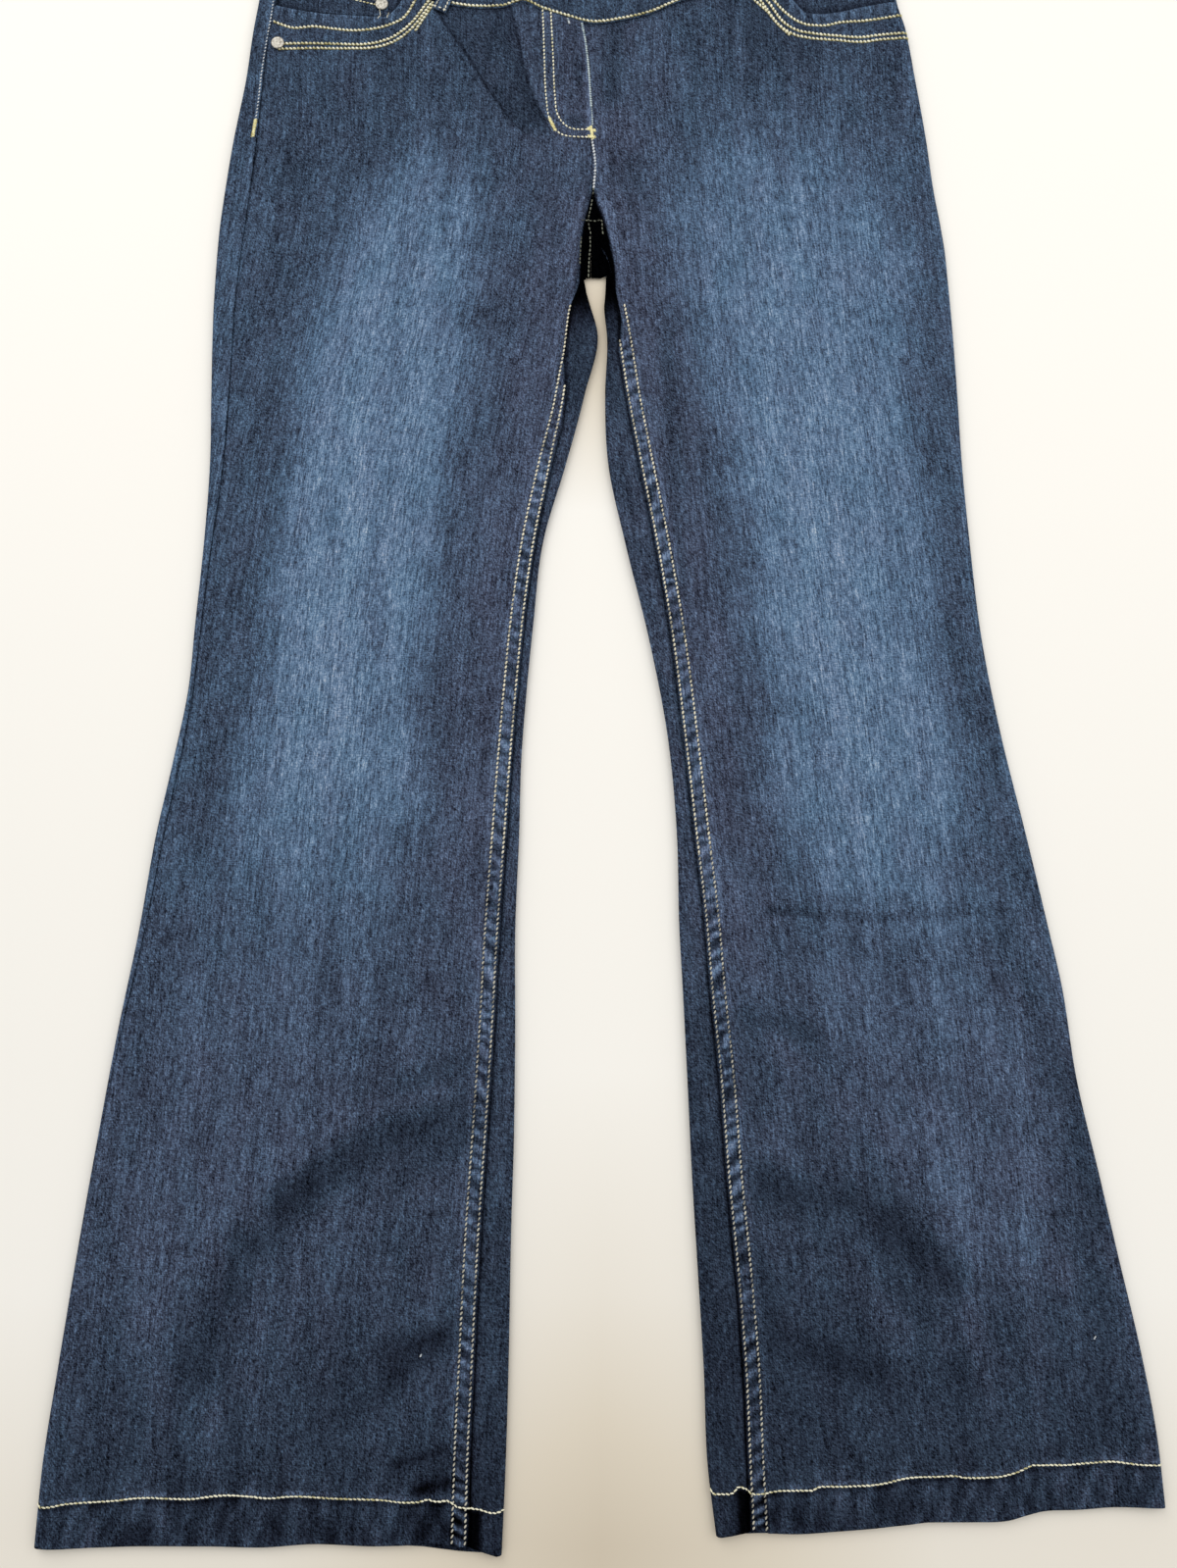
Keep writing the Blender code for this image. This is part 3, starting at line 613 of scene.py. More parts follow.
def wash_and_shade_of(leg, across, along):
    """Grey level of the dyed and washed cloth at a place, out of 255, with painted shade in the main creases'
    troughs and painted highlight on their ridges.
    """
    rows = RIGHT_WASH if leg is RIGHT_LEG else LEFT_WASH
    edge = read(leg, "edge", along)
    share = leg_share(leg, across, along)
    pale = read(rows, "pale", along)
    dark = read(rows, "dark", along)
    low = read(rows, "outer", along) + 0.025 * rumple(along / 22, across * 0, 31)
    high = read(rows, "inner", along) + 0.03 * rumple(along / 18, across * 0 + 5, 32)
    band = ease(low - 0.085, low + 0.085, share) * (1 - ease(high - 0.1, high + 0.1, share))
    tone = dark + (pale - dark) * band
    streak = rumple(across / 7, along / 210, 33) + 0.7 * rumple(across / 16, along / 120, 34)
    tone = tone + (1.5 + 4 * band) * streak
    tone = tone + 9 * hump(np.abs(across - edge), 6)
    for *line, mark in zip(*TONE_MARKS.values()):
        tone = tone + mark * stroke(across, along, *line)
    # Painted shade in the crease troughs and painted highlight on the ridges.
    trough = np.minimum(folds_at(across, along, highest=0), 0)
    ridge = np.maximum(folds_at(across, along, lowest=0), 0)
    return tone + 25 * trough + 4 * ridge


def plain_marks(across, along, tone):
    """Warp and weft in mm, and how pale the cloth is with its painted shade and highlights, at each point."""
    return {"weave": np.stack([across, along, 0 * across], -1), "wash": tone / 255}


def cloth_marks(leg, across, along, tone):
    """What the denim finish reads at each point: warp and weft in mm, how pale the cloth is with its painted
    shade and highlights, and how much of the violet overdye is left, which is most beside the inseam and over
    the shins."""
    grain = read(RIGHT_GRAIN if leg is RIGHT_LEG else LEFT_GRAIN, "across", along)
    shin = 1 - ease(-90, 60, along)
    overdye = 0.2 + 0.75 * ease(0.68, 0.95, leg_share(leg, across, along)) * (1 - shin) + 0.5 * shin
    overdye = overdye * (0.05 + 0.95 * ease(54, 80, tone)) * (1 - ease(112, 140, tone))
    return {**plain_marks(across - grain, along, tone), "overdye": overdye}


def slope(points, axis):
    """Direction from each point to the next one along an axis, beside missing points from one side only."""
    step = np.diff(points, axis=axis)
    none = np.zeros_like(np.take(points, [0], axis))
    ahead, behind = np.concatenate([step, none], axis), np.concatenate([none, step], axis)
    return np.nan_to_num(ahead) + np.nan_to_num(behind)


def put(name, data):
    """A new object in the scene."""
    made = bpy.data.objects.new(name, data)
    bpy.context.scene.collection.objects.link(made)
    return made


def lay_cloth(name, outer, wall, marks, finish, flip=False):
    """Closed sheet of cloth through a grid of points on its outer face. A point that is NaN is left out."""
    rows, columns = outer.shape[:2]
    normal = np.cross(slope(outer, 1), slope(outer, 0)) * (-1 if flip else 1)
    normal /= np.maximum(np.linalg.norm(normal, axis=-1, keepdims=True), 1e-9)
    inner = outer - wall * normal
    index = np.arange(rows * columns).reshape(rows, columns)
    quads = np.stack([index[:-1, :-1], index[:-1, 1:], index[1:, 1:], index[1:, :-1]], -1).reshape(-1, 4)
    used = ~np.isnan(outer.reshape(-1, 3)).any(1)
    quads = quads[used[quads].all(1)]
    if flip:
        quads = quads[:, ::-1]
    starts, ends = quads.reshape(-1), np.roll(quads, -1, 1).reshape(-1)
    size = rows * columns
    forward, backward = starts * size + ends, ends * size + starts
    rim = ~np.isin(forward, backward)
    edge_start, edge_end = starts[rim], ends[rim]
    sides = np.stack([edge_end, edge_start, edge_start + size, edge_end + size], -1)
    faces = np.concatenate([quads, quads[:, ::-1] + size, sides])
    kept, faces = np.unique(faces, return_inverse=True)
    faces = faces.reshape(-1, 4)
    points = np.concatenate([outer.reshape(-1, 3), inner.reshape(-1, 3)])[kept]
    points[:, 2] = np.maximum(points[:, 2], 0.02)
    points = (points - (MIDDLE_ACROSS, MIDDLE_ALONG, 0)) / 1000
    mesh = bpy.data.meshes.new(name)
    mesh.vertices.add(len(points))
    mesh.vertices.foreach_set("co", points.astype(np.float32).ravel())
    mesh.loops.add(faces.size)
    mesh.loops.foreach_set("vertex_index", faces.astype(np.int32).ravel())
    mesh.polygons.add(len(faces))
    mesh.polygons.foreach_set("loop_start", np.arange(0, faces.size, 4, dtype=np.int32))
    mesh.update(calc_edges=True)
    for label, values in marks.items():
        vector = values.ndim == 3
        field = mesh.attributes.new(label, "FLOAT_VECTOR" if vector else "FLOAT", "POINT")
        both = np.concatenate([values.reshape(size, -1)] * 2)[kept]
        field.data.foreach_set("vector" if vector else "value", np.nan_to_num(both).astype(np.float32).ravel())
    mesh.shade_smooth()
    mesh.materials.append(finish)
    piece = put(name, mesh)
    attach(piece, "root")
    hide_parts(name.replace("_cloth", ""))
    return piece


def new_finish(name, roughness, specular, sheen):
    made = bpy.data.materials.new(name)
    made.use_nodes = True
    shader = made.node_tree.nodes["Principled BSDF"]
    shader.inputs["Roughness"].default_value = roughness
    shader.inputs["Specular IOR Level"].default_value = specular
    shader.inputs["Sheen Weight"].default_value = sheen
    shader.inputs["Sheen Roughness"].default_value = 0.5
    return made, shader


def add_node(tree, kind, inputs, **settings):
    """A node with its settings, each input set to a value or linked to another node's output."""
    made = tree.nodes.new(kind)
    for name, value in settings.items():
        setattr(made, name, value)
    for name, value in inputs.items():
        if isinstance(value, bpy.types.NodeSocket):
            tree.links.new(value, made.inputs[name])
        else:
            made.inputs[name].default_value = value
    return made


class Value:
    """A number, place or colour that varies over a finish. Sums with it are built as nodes."""

    def __init__(self, pattern, socket):
        self.pattern, self.socket = pattern, socket

    def __add__(self, other):
        return self.pattern.sum("ADD", self, other)

    def __sub__(self, other):
        return self.pattern.sum("SUBTRACT", self, other)

    def __rsub__(self, other):
        return self.pattern.sum("SUBTRACT", other, self)

    def __mul__(self, other):
        return self.pattern.sum("MULTIPLY", self, other)

    def __truediv__(self, other):
        return self.pattern.sum("DIVIDE", self, other)


class Pattern:
    """What varies over a finish, built as nodes."""

    def __init__(self, finish):
        self.tree = finish.node_tree

    def node(self, kind, inputs, output=0, **settings):
        given = {name: value.socket if isinstance(value, Value) else value for name, value in inputs.items()}
        return Value(self, add_node(self.tree, kind, given, **settings).outputs[output])

    def sum(self, operation, *values):
        return self.node("ShaderNodeMath", dict(enumerate(values)), operation=operation)

    def mark(self, label, output):
        return self.node("ShaderNodeAttribute", {}, output, attribute_name=label)

    def places(self):
        """Places on the object itself, in metres."""
        return self.node("ShaderNodeTexCoord", {}, "Object")

    def millimetres(self):
        return self.node("ShaderNodeVectorMath", {0: self.places(), "Scale": 1000}, operation="SCALE")

    def parts(self, place):
        """How far across, along and up a place is."""
        split = add_node(self.tree, "ShaderNodeSeparateXYZ", {0: place.socket})
        return [Value(self, output) for output in split.outputs]

    def cells(self, places, size, detail=1.0, rough=0.5):
        """Noise whose grains have a size in mm along each of the two threads."""
        scaled = self.node("ShaderNodeVectorMath", {0: places, 1: (1 / size[0], 1 / size[1], 1)},
                           operation="MULTIPLY")
        settings = {"Vector": scaled, "Scale": 1, "Detail": detail, "Roughness": rough}
        return self.node("ShaderNodeTexNoise", settings, noise_dimensions="2D") - 0.5

    def turned(self, places, angle):
        return self.node("ShaderNodeVectorRotate", {"Vector": places, "Angle": angle}, rotation_type="Z_AXIS")

    def clamped(self, number, highest=1.0):
        """The number, but at least 0 and at most the highest."""
        return self.sum("MINIMUM", self.sum("MAXIMUM", number, 0.0), highest)

    def peak(self, distance, width):
        """1 at a distance of 0, falling evenly to 0 at a width to either side."""
        return self.sum("MAXIMUM", 1.0 - self.sum("ABSOLUTE", distance) / width, 0.0)

    def mixed(self, share, low, high, blend="MIX"):
        return self.node("ShaderNodeMix", {0: share, 6: low, 7: high}, 2, data_type="RGBA", blend_type=blend)

    def colour(self, share, stops):
        """Colour at a share, between stops of a position and a colour out of 255."""
        node = add_node(self.tree, "ShaderNodeValToRGB", {0: share.socket})
        while len(node.color_ramp.elements) < len(stops):
            node.color_ramp.elements.new(0.5)
        for element, (position, rgb) in zip(node.color_ramp.elements, stops):
            element.position = position
            element.color = (*[(c / 255) ** 2.2 for c in rgb], 1)
        return Value(self, node.outputs[0])

    def finish(self, shader, colour, height=None, distance=0.0):
        """Puts a colour on a shader, and a relief of a height in metres."""
        self.tree.links.new(colour.socket, shader.inputs["Base Color"])
        if height is not None:
            relief = self.node("ShaderNodeBump", {"Strength": 1, "Distance": distance, "Height": height})
            self.tree.links.new(relief.socket, shader.inputs["Normal"])


DARKEST, PALEST = 2.0, 190.0
# Grey levels and their indigo colours. All but the darkest are raised a little by a painted reflection, which
# stands in for the specular reflection that the denim finish leaves out.
INDIGO_AND_REFLECTION = [(2, (3, 3, 5)), (12, (15, 16, 19)), (25, (26, 29, 38)), (45, (42, 49, 62)), (60, (53, 63, 79)),
          (75, (64, 77, 95)), (90, (73, 91, 114)), (105, (84, 108, 135)), (120, (96, 123, 153)),
          (140, (117, 144, 173)), (165, (147, 169, 193)), (190, (183, 195, 207))]


def denim_finish():
    """Indigo warp over a pale weft: slubs along the warp, a slanted twill and a fine cross rib."""
    made, shader = new_finish("washed_denim", 0.92, 0.0, 0.0)
    p = Pattern(made)
    weave = p.mark("weave", "Vector")
    past_start, clear, past_end = p.parts(p.mark("fold", "Vector"))
    # Painted shadow lines along the two edges of the sharp fold.
    crease_shadow = (p.peak(past_start - 0.6, 1.7) * 26 + p.peak(past_end + 0.9, 1.5) * 18) * clear
    wash = p.mark("wash", "Fac") * 255 - crease_shadow
    warp = p.cells(weave, (0.95, 6.5), 2, 0.6)
    slub = p.cells(weave, (1.3, 26), 1)
    thread = p.cells(weave, (0.45, 1.6), 1)
    weft = p.cells(weave, (2.6, 0.6), 1)
    twill = p.cells(p.turned(weave, math.radians(-42)), (0.75, 3.0), 1)
    patches = p.cells(weave, (26, 60), 2)
    blotches = p.cells(weave, (5, 9), 2)
    streaks = p.cells(weave, (4.5, 75), 2)
    fade = p.clamped((wash - 55) * (1 / 65))
    along_warp = (warp * 118 + slub * 56) * (fade * 0.5 + 0.5)
    fine = thread * 78 + weft * 62
    slanted = twill * (82 - fade * 62)
    large = patches * 24 + blotches * 27 + streaks * 26
    grain = (along_warp + fine) + (slanted + large)
    grey = wash + grain * p.sum("MINIMUM", wash / 62, 1.15)
    share = (grey - DARKEST) / (PALEST - DARKEST)
    blue = p.colour(share, [((level - DARKEST) / (PALEST - DARKEST), rgb) for level, rgb in INDIGO_AND_REFLECTION])
    violet = p.mixed(1.0, blue, (1.24, 1.0, 1.0, 1), "MULTIPLY")
    cast = p.clamped(p.cells(weave, (17, 34), 2) * 0.9 + p.mark("overdye", "Fac"), 1.2)
    p.finish(shader, p.mixed(cast, blue, violet), (warp + thread) + (twill + weft), 0.00035)
    return made


def inseam_wear_and_shade(leg, across, along, from_seam):
    """Tone at the lapped inseam: worn on its ridges with painted shade between them, pale beside it, and
    painted shade under its stitches and along its edge.
    """
    worn = inseam_puckers(leg, across, along)
    off_seam = (across - inner_seam(leg, along)) * -math.copysign(1, leg["edge"][0])
    seam = np.abs(off_seam)
    below = 1 - ease(385, 402, along)
    ridge_wear_and_shade = (1 - ease(2.8, 4.4, seam)) * (58 * np.maximum(worn, 0) + 40 * np.minimum(worn, 0) + 2)
    beside = (7 + 12 * np.abs(rumple(along / 9, along * 0, 47))) * hump(off_seam + 5.6, 1.3)
    return below * (ridge_wear_and_shade + beside - 14 * hump(seam - INSEAM_GAUGE, 0.9) - 42 * hump(from_seam, 1.0))


def hem_wear_and_shade(leg, across, along):
    """Tone at the hem: pale above its topstitching, painted shade below it, roped between and worn on the edge.
    """
    over, edge = past_hem_row(leg, across, along), along - hem_line(leg, across)
    tone = 24 * hump(over - 1.6, 1.1) * (0.7 + 0.6 * rumple(across / 7, along * 0, 48))
    # Painted shade just below the topstitching.
    tone = tone - 22 * hump(over + 1.4, 1.3)
    roped = rumple((across + 0.6 * edge) / 6.5, edge / 40, 46) + 0.6 * rumple(across / 15, edge / 30, 49)
    roped = roped + 0.8 * np.maximum(hem_roping(across, edge), -0.5)
    tone = tone + 12 * roped * (1 - ease(-2, 0, over)) + 8 * roped * hump(over - 5, 6)
    return tone + 10 * hump(edge, 1.3) * (0.6 + 0.5 * rumple(across / 9, along * 0, 44))


def crotch_wear_and_shade(leg, across, along, from_seam):
    """Tone beside the hollow at the crotch: painted shade next to the seam, and a pale wall that is both wear
    and painted highlight.
    """
    deep_shade = (ease(440, 470, along) * (1 - ease(478, 498, along))
            + (1 - ease(440, 470, along)) * ease(395, 425, along))
    wall_wear_and_highlight = (hump(across - read(RIGHT_WALL, "across", along) + 4.5, 2.2) if leg is RIGHT_LEG
                 else hump(across - read(LEFT_WALL, "across", along) - 3, 2.0))
    return (11 * wall_wear_and_highlight * ease(392, 410, along) * (1 - ease(470, 490, along))
            - 20 * deep_shade * hump(from_seam, 3.2))


def front_panel(name, leg):
    bottom = leg["along"][0]
    fine = bottom + 36
    nominal = np.concatenate([np.arange(bottom, fine, 1.2), np.arange(fine, PANEL_TOP - 1, 2.4)])
    shares = np.linspace(0, 1, 21)
    side = float(front_top(leg, np.array(math.copysign(200, leg["edge"][0]))))
    rows = np.concatenate([nominal, PANEL_TOP + shares * (side - PANEL_TOP)])[:, None]
    inward = -math.copysign(1, leg["edge"][0])
    edge = read(leg, "edge", rows)
    start = seam_turn(leg, rows) + 0.1
    seam = inner_seam(leg, rows) + inward * (lap(leg, rows) - 0.2)
    end = FOLD_RADIUS * np.pi / 2 + np.abs(seam - edge) - FOLD_RADIUS
    by_side = np.array([0, 0.5, 1.1, 1.8, 2.6, 3.6, 4.8, 6.2, 8, 10.5])
    by_seam = np.array([17, 15, 13.2, 12, 10.9, 9.9, 9, 8.1, 7.2, 6.3, 5.4, 4.4, 3.4, 2.4, 1.5, 0.8, 0.3, 0])
    middle = np.linspace(0, 1, 74)[1:-1]
    arcs = np.concatenate([start + by_side, (start + 10.5) * (1 - middle) + (end - 17) * middle,
                           end - by_seam], axis=1)
    across, height = over_edge(leg, rows, arcs)
    skewed = from_hem(leg, across, rows - bottom)
    share = np.clip((rows - PANEL_TOP) / (side - PANEL_TOP), 0, 1)
    along = np.where(rows < PANEL_TOP, skewed, PANEL_TOP + share * (front_top(leg, across) - PANEL_TOP))
    top_edge = front_top(leg, across) - along
    from_side, from_seam = arcs - start, end - arcs
    flat = ease(2.5, 9, np.abs(across - edge))
    height = height + flat * (stitched_relief(leg, across, along) + unevenness(across, along, 41))
    height = height - 0.55 * hump(from_side, 1.1) * ease(0.5, 3, start) - 0.6 * hump(from_seam, 0.7)
    mouth = ease(112, 126, np.abs(across)) * ease(575, 590, along)
    height = height + mouth * (0.45 * ease(0, 1.4, top_edge) * (1 - ease(24, 30, top_edge))
                               - 0.3 * hump(top_edge, 0.7))
    ticks = np.sin(2 * np.pi * across / 7.3 + 3 * rumple(across / 21, along * 0, 43))
    height = height + mouth * 0.16 * ticks * hump(top_edge - 5, 4)
    fold_height, fold_light_and_shade = sharp_fold(across, along)
    right = 1 if leg is RIGHT_LEG else 0
    height = height + right * fold_height
    tone = wash_and_shade_of(leg, across, along) + right * fold_light_and_shade
    tone = tone + inseam_wear_and_shade(leg, across, along, from_seam) + hem_wear_and_shade(leg, across, along)
    tone = tone + mouth * (26 * hump(top_edge - 1.5, 0.8) * (0.7 + 0.6 * rumple(across / 4, along * 0, 45))
                           + 30 * np.maximum(ticks, -0.25) * hump(top_edge - 4.5, 3.4))
    tone = tone - 16 * hump(from_side, 1.0) * ease(0.5, 3, start)
    tone = tone + crotch_wear_and_shade(leg, across, along, from_seam)
    # Painted near-black shade inside the crotch hollow.
    hollow = crotch_hollow(across, along)
    tone = tone * (1 - hollow) + 4 * hollow
    # Painted shadow just below the waistband's lower edge.
    band_shadow = 1 - ease(92, 104, np.abs(across))
    tone = tone - 16 * band_shadow * hump(top_edge, 2.2)
    marks = cloth_marks(leg, across, along, tone)
    marks["fold"] = fold_line(across, along) * right
    return lay_cloth(name, np.stack([across, along, height], -1), DENIM_WALL, marks, denim,
                     flip=leg is LEFT_LEG)


denim = denim_finish()
front_right = front_panel("front_right_cloth", RIGHT_LEG)
front_left = front_panel("front_left_cloth", LEFT_LEG)


# ---------------------------------------------------------------------------------------------
# Back panels of the legs. The same denim, lying on the floor and folded up round both edges of each
# leg: on the inside to the lapped inseam, on the outside to the side seam. At the crotch the four
# panels meet, and the backs form a small tongue behind the front, painted near black as shade.

CENTRE_BACK = 1.5
BACK_WAIST = 664.0


def round_fold(tip, outward, radius, angles):
    """Points round a fold from its upper side to the floor, at a tip on the outline."""
    turn = np.radians(angles)
    back = radius * (1 - np.cos(turn))
    return np.stack([tip[0] - outward[0] * back, tip[1] - outward[1] * back, radius * (1 + np.sin(turn))], -1)


def outer_wrap(leg, along, place):
    """Points from the floor round a leg's outer edge up to the side seam, with their arc lengths."""
    quarter = FOLD_RADIUS * np.pi / 2
    end = float(seam_turn(leg, along)) - 0.1
    start = min(0.0, end - 1.2)
    arcs = np.concatenate([-quarter * np.array([1, 0.75, 0.5, 0.25]),
                           start + (end - start) * np.array([0, 0.15, 0.3, 0.5, 0.65, 0.78, 0.88, 0.95, 1])])
    across, height = over_edge(leg, along, arcs)
    return np.stack([across, place(across), height], -1), end - arcs


def back_row(leg, along, seam, tip, outward):
    """One section of a back panel. seam is None above the crotch, where only the floor part is left."""
    level = along - leg["along"][0]
    place = (lambda x: from_hem(leg, x, level)) if along < 300 else (lambda x: along + 0 * x)
    sign = 1 if leg is RIGHT_LEG else -1
    angles = np.linspace(90, -90, 11)
    if seam is None:
        start = np.array([tip[0] - sign * 0.15, tip[1], 0.0])
        upper = np.full((14 + len(angles) - 1, 3), np.nan)
        from_lap = np.full(len(upper), np.nan)
    else:
        fold = round_fold(tip, outward, float(inner_radius(along)), angles)
        start, over = fold[-1], fold[0]
        under = float(lap(leg, seam[1]))
        near = np.array([seam[0] + sign * (under - 1.4 * (under - 0.1) / 4.8), seam[1]])
        length = float(np.hypot(*(over[:2] - near)))
        steps = np.array([0, 0.7, 1.3, 1.8, 2.3, 2.9, 3.6, 4.4, 5.4, 6.6]) * min(1, length / 9)
        steps = np.concatenate([steps, steps[-1] + (length - steps[-1]) * np.array([0.25, 0.5, 0.75, 0.95])])
        share = steps / max(length, 1e-6)
        across, up = (near + (over[:2] - near) * share[:, None]).T
        height = upper_height(leg, across, up) + stitched_relief(leg, across, up)
        height = height + 0.5 * unevenness(across, up, 51)
        tucked = ease(396, 405, seam[1])
        height = height * (1 - tucked) + tucked * (GROOVE_HEIGHT + share * (over[2] - GROOVE_HEIGHT))
        height = height - (1 - tucked) * 1.1 * (1 - ease(1.0, 3.6, steps))
        meet = ease(0.6, 1, share)
        height = height * (1 - meet) + over[2] * meet
        upper = np.concatenate([np.stack([across, up, height], -1), fold[:-1]])
        from_lap = np.concatenate([steps, length + 2.0 * np.arange(len(angles) - 1)])
    wrap, from_side = outer_wrap(leg, np.array(float(along)), place)
    shares = np.linspace(0, 1, 26)[1:-1]
    across = start[0] + shares * (wrap[0, 0] - start[0])
    up = start[1] + ease(0, 0.3, shares) * (place(across) - start[1])
    lie = 0.2 + 0.2 * rumple(across / 45, up / 60, 52)
    floor_part = np.stack([across, up, lie * ease(0, 0.08, shares) * (1 - ease(0.92, 1, shares))], -1)
    row = np.concatenate([upper, [start], floor_part, wrap])
    away = np.full(len(row), 99.0)
    away[:len(upper)] = from_lap
    side = np.full(len(row), 99.0)
    side[-len(wrap):] = from_side
    return row, away, side


def back_panel(name, leg):
    right = leg is RIGHT_LEG
    facing = (1, 0) if right else (-1, 0)
    rows = []
    for along in np.arange(leg["along"][0], 405, 1.9):
        seam, inner = float(inner_seam(leg, along)), float(read(leg, "inner", along))
        level = along - leg["along"][0]
        rows.append(back_row(leg, along, (seam, float(from_hem(leg, np.array(seam), level))),
                             (inner, float(from_hem(leg, np.array(inner), level))), facing))
    corner = (-2.8, 423.4) if right else (11.1, 426.6)
    turn = table(
        "along seam_across seam_along tip_across tip_along out_across out_along",
        (405, float(inner_seam(leg, 405)), 405, float(read(leg, "inner", 405)), 405, facing[0], 0),
        (414, float(inner_seam(leg, 414)), 414, 0.6 * corner[0] + 0.4 * leg["inner"][15], 414, facing[0], 0),
        (424, float(inner_seam(leg, 424)), 424, *corner, facing[0] * 0.7, -0.7),
        (434, float(inner_seam(leg, 434)), 434, 0.65 * corner[0] + 0.35 * CENTRE_BACK, 424.6, 0, -1),
        (446, float(inner_seam(leg, 446)), 446, 0.3 * corner[0] + 0.7 * CENTRE_BACK, 424.8, 0, -1),
        (457, CENTRE_BACK, 455.2, CENTRE_BACK, 424.9, 0, -1),
    )
    for along in np.linspace(405, 457, 34):
        at = {column: float(np.interp(along, turn["along"], turn[column])) for column in turn}
        rows.append(back_row(leg, along, (at["seam_across"], at["seam_along"]),
                             (at["tip_across"], at["tip_along"]), (at["out_across"], at["out_along"])))
    limit = CENTRE_BACK - 0.15 if right else CENTRE_BACK + 0.15
    rows[-1][0][:, 0] = (np.minimum if right else np.maximum)(rows[-1][0][:, 0], limit)
    for along in np.append(np.arange(460, BACK_WAIST - 1, 3.4), BACK_WAIST - 0.3):
        rows.append(back_row(leg, along, None, (CENTRE_BACK, along), facing))
    outer, from_lap, from_side = (np.stack(values) for values in zip(*rows))
    across, along = outer[..., 0], outer[..., 1]
    nominal = np.array([row[0][-1, 1] for row in rows])[:, None] + 0 * across
    tone = wash_and_shade_of(leg, across, nominal)
    dark = read(RIGHT_WASH if right else LEFT_WASH, "dark", nominal)
    on_top = (from_lap < 90) | np.isnan(from_lap)
    tone = np.where(on_top, dark - 9 - 18 * ease(300, 385, nominal), tone)
    shadow = 26 + 16 * (1 - ease(-60, 240, nominal))
    tone = np.where(on_top, tone - shadow * (1 - ease(0.9, 3.4, np.nan_to_num(from_lap))), tone)
    tone = tone + np.where(on_top, 5 * rumple(nominal / 13, from_lap / 6, 53), 0)
    # Painted near-black shade on the tongue tucked in at the crotch.
    tucked = ease(380, 416, nominal) * (1 - ease(457, 462, nominal))
    tone = np.where(on_top, tone * (1 - tucked) + 4 * tucked, tone)
    strip = from_side < 60
    worn = rumple(nominal / 24, nominal * 0 + 2, 54)
    banded = rumple(nominal / 11, across / 9, 55)
    tone = np.where(strip, dark + 3 + 6 * banded + 17 * hump(from_side - 1.6, 1.2) * (0.6 + 0.5 * worn), tone)
    over = past_hem_row(leg, across, along)
    # Painted shade just below the hem's topstitching.
    tone = tone - 10 * hump(over + 1.6, 1.5)
    # Painted shadow on the strip beside the front's lapped edge, below the hem row.
    lap_shadow = 1 - ease(6, 9.5, np.nan_to_num(from_lap))
    tone = tone - np.where(on_top, 34 * (1 - ease(-3, 1, over)) * lap_shadow, 0)
    return lay_cloth(name, outer, DENIM_WALL, cloth_marks(leg, across, along, np.maximum(tone, 4)), denim,
                     flip=not right)


back_right = back_panel("back_right_cloth", RIGHT_LEG)
back_left = back_panel("back_left_cloth", LEFT_LEG)


# ---------------------------------------------------------------------------------------------
# Pocket pieces. Behind each curved mouth lies a facing of the same denim, and on the right one a small
# coin pocket, its mouth turned in and sloping up towards the side.

FACING_HEIGHT, COIN_HEIGHT = 2.9, 4.25
FACING_ENDS = (-112, 116)
COIN_SIDE, COIN_END, COIN_TOP, COIN_SLOPE = -176, -130.5, 619.5, 0.25


def pocket_facing(name, leg):
    right = leg is RIGHT_LEG
    inner = FACING_ENDS[0 if right else 1]
    shares = np.concatenate([[-1, -0.5], np.linspace(0, 1, 34)])[:, None]
    at = 620 + 30 * np.maximum(shares, 0)
    edge = read(leg, "edge", at)
    inset = np.maximum(np.abs(edge - read(leg, "side", at)) + 0.4, 3.2)
    outer = edge + (inset if right else -inset)
    across = outer + np.linspace(0, 1, 48) * (inner - outer)
    mouth = np.minimum(front_top(leg, across), 617)
    waist = read(WAIST_SEAM, "along", across) - 0.3
    along = np.where(shares < 0, mouth + 9 * shares, mouth + np.maximum(shares, 0) * (waist - mouth))
    height = FACING_HEIGHT + unevenness(across, along, 61)
    # Painted shade along the pocket mouth, where the front panel's edge lies over the facing.
    tone = 62 + 6 * rumple(across / 17, along / 13, 62) - 26 * hump(along - mouth, 5)
    return lay_cloth(name, np.stack([across, along, height], -1), DENIM_WALL,
                     cloth_marks(leg, across, along, tone), denim, flip=not right)


def coin_pocket():
    across = np.linspace(COIN_SIDE, COIN_END, 46)[None, :] + np.zeros((26, 1))
    share = np.linspace(0, 1, 26)[:, None]
    foot = front_top(RIGHT_LEG, across) + 0.6
    top = COIN_TOP - COIN_SLOPE * (across - COIN_END)
    along = foot + share * (top - foot)
    edge = np.minimum(np.minimum(across - COIN_SIDE, COIN_END - across), top - along)
    height = COIN_HEIGHT - 0.5 * hump(edge, 0.8) + 0.15 * rumple(across / 9, along / 8, 63)
    height = height - 0.25 * hump(top - along - 2.2, 0.6)
    tone = 60 + 20 * hump(edge - 0.9, 0.8) + 5 * rumple(across / 8, along / 8, 64)
    return lay_cloth("coin_pocket_cloth", np.stack([across, along, height], -1), 0.9,
                     cloth_marks(RIGHT_LEG, across, along, tone), denim)


facing_right = pocket_facing("pocket_facing_right_cloth", RIGHT_LEG)
facing_left = pocket_facing("pocket_facing_left_cloth", LEFT_LEG)
coin = coin_pocket()
for piece, size in ((facing_right, (0.105, 0.06)), (facing_left, (0.09, 0.058)), (coin, (0.046, 0.027))):
    0.62 * size[0] * size[1]


# ---------------------------------------------------------------------------------------------
# Mock fly. A flap of denim on the right front, its folded edge down the centre and its far edge held by
# a curved double row, so that it looks like a zip fly but doesn't open.

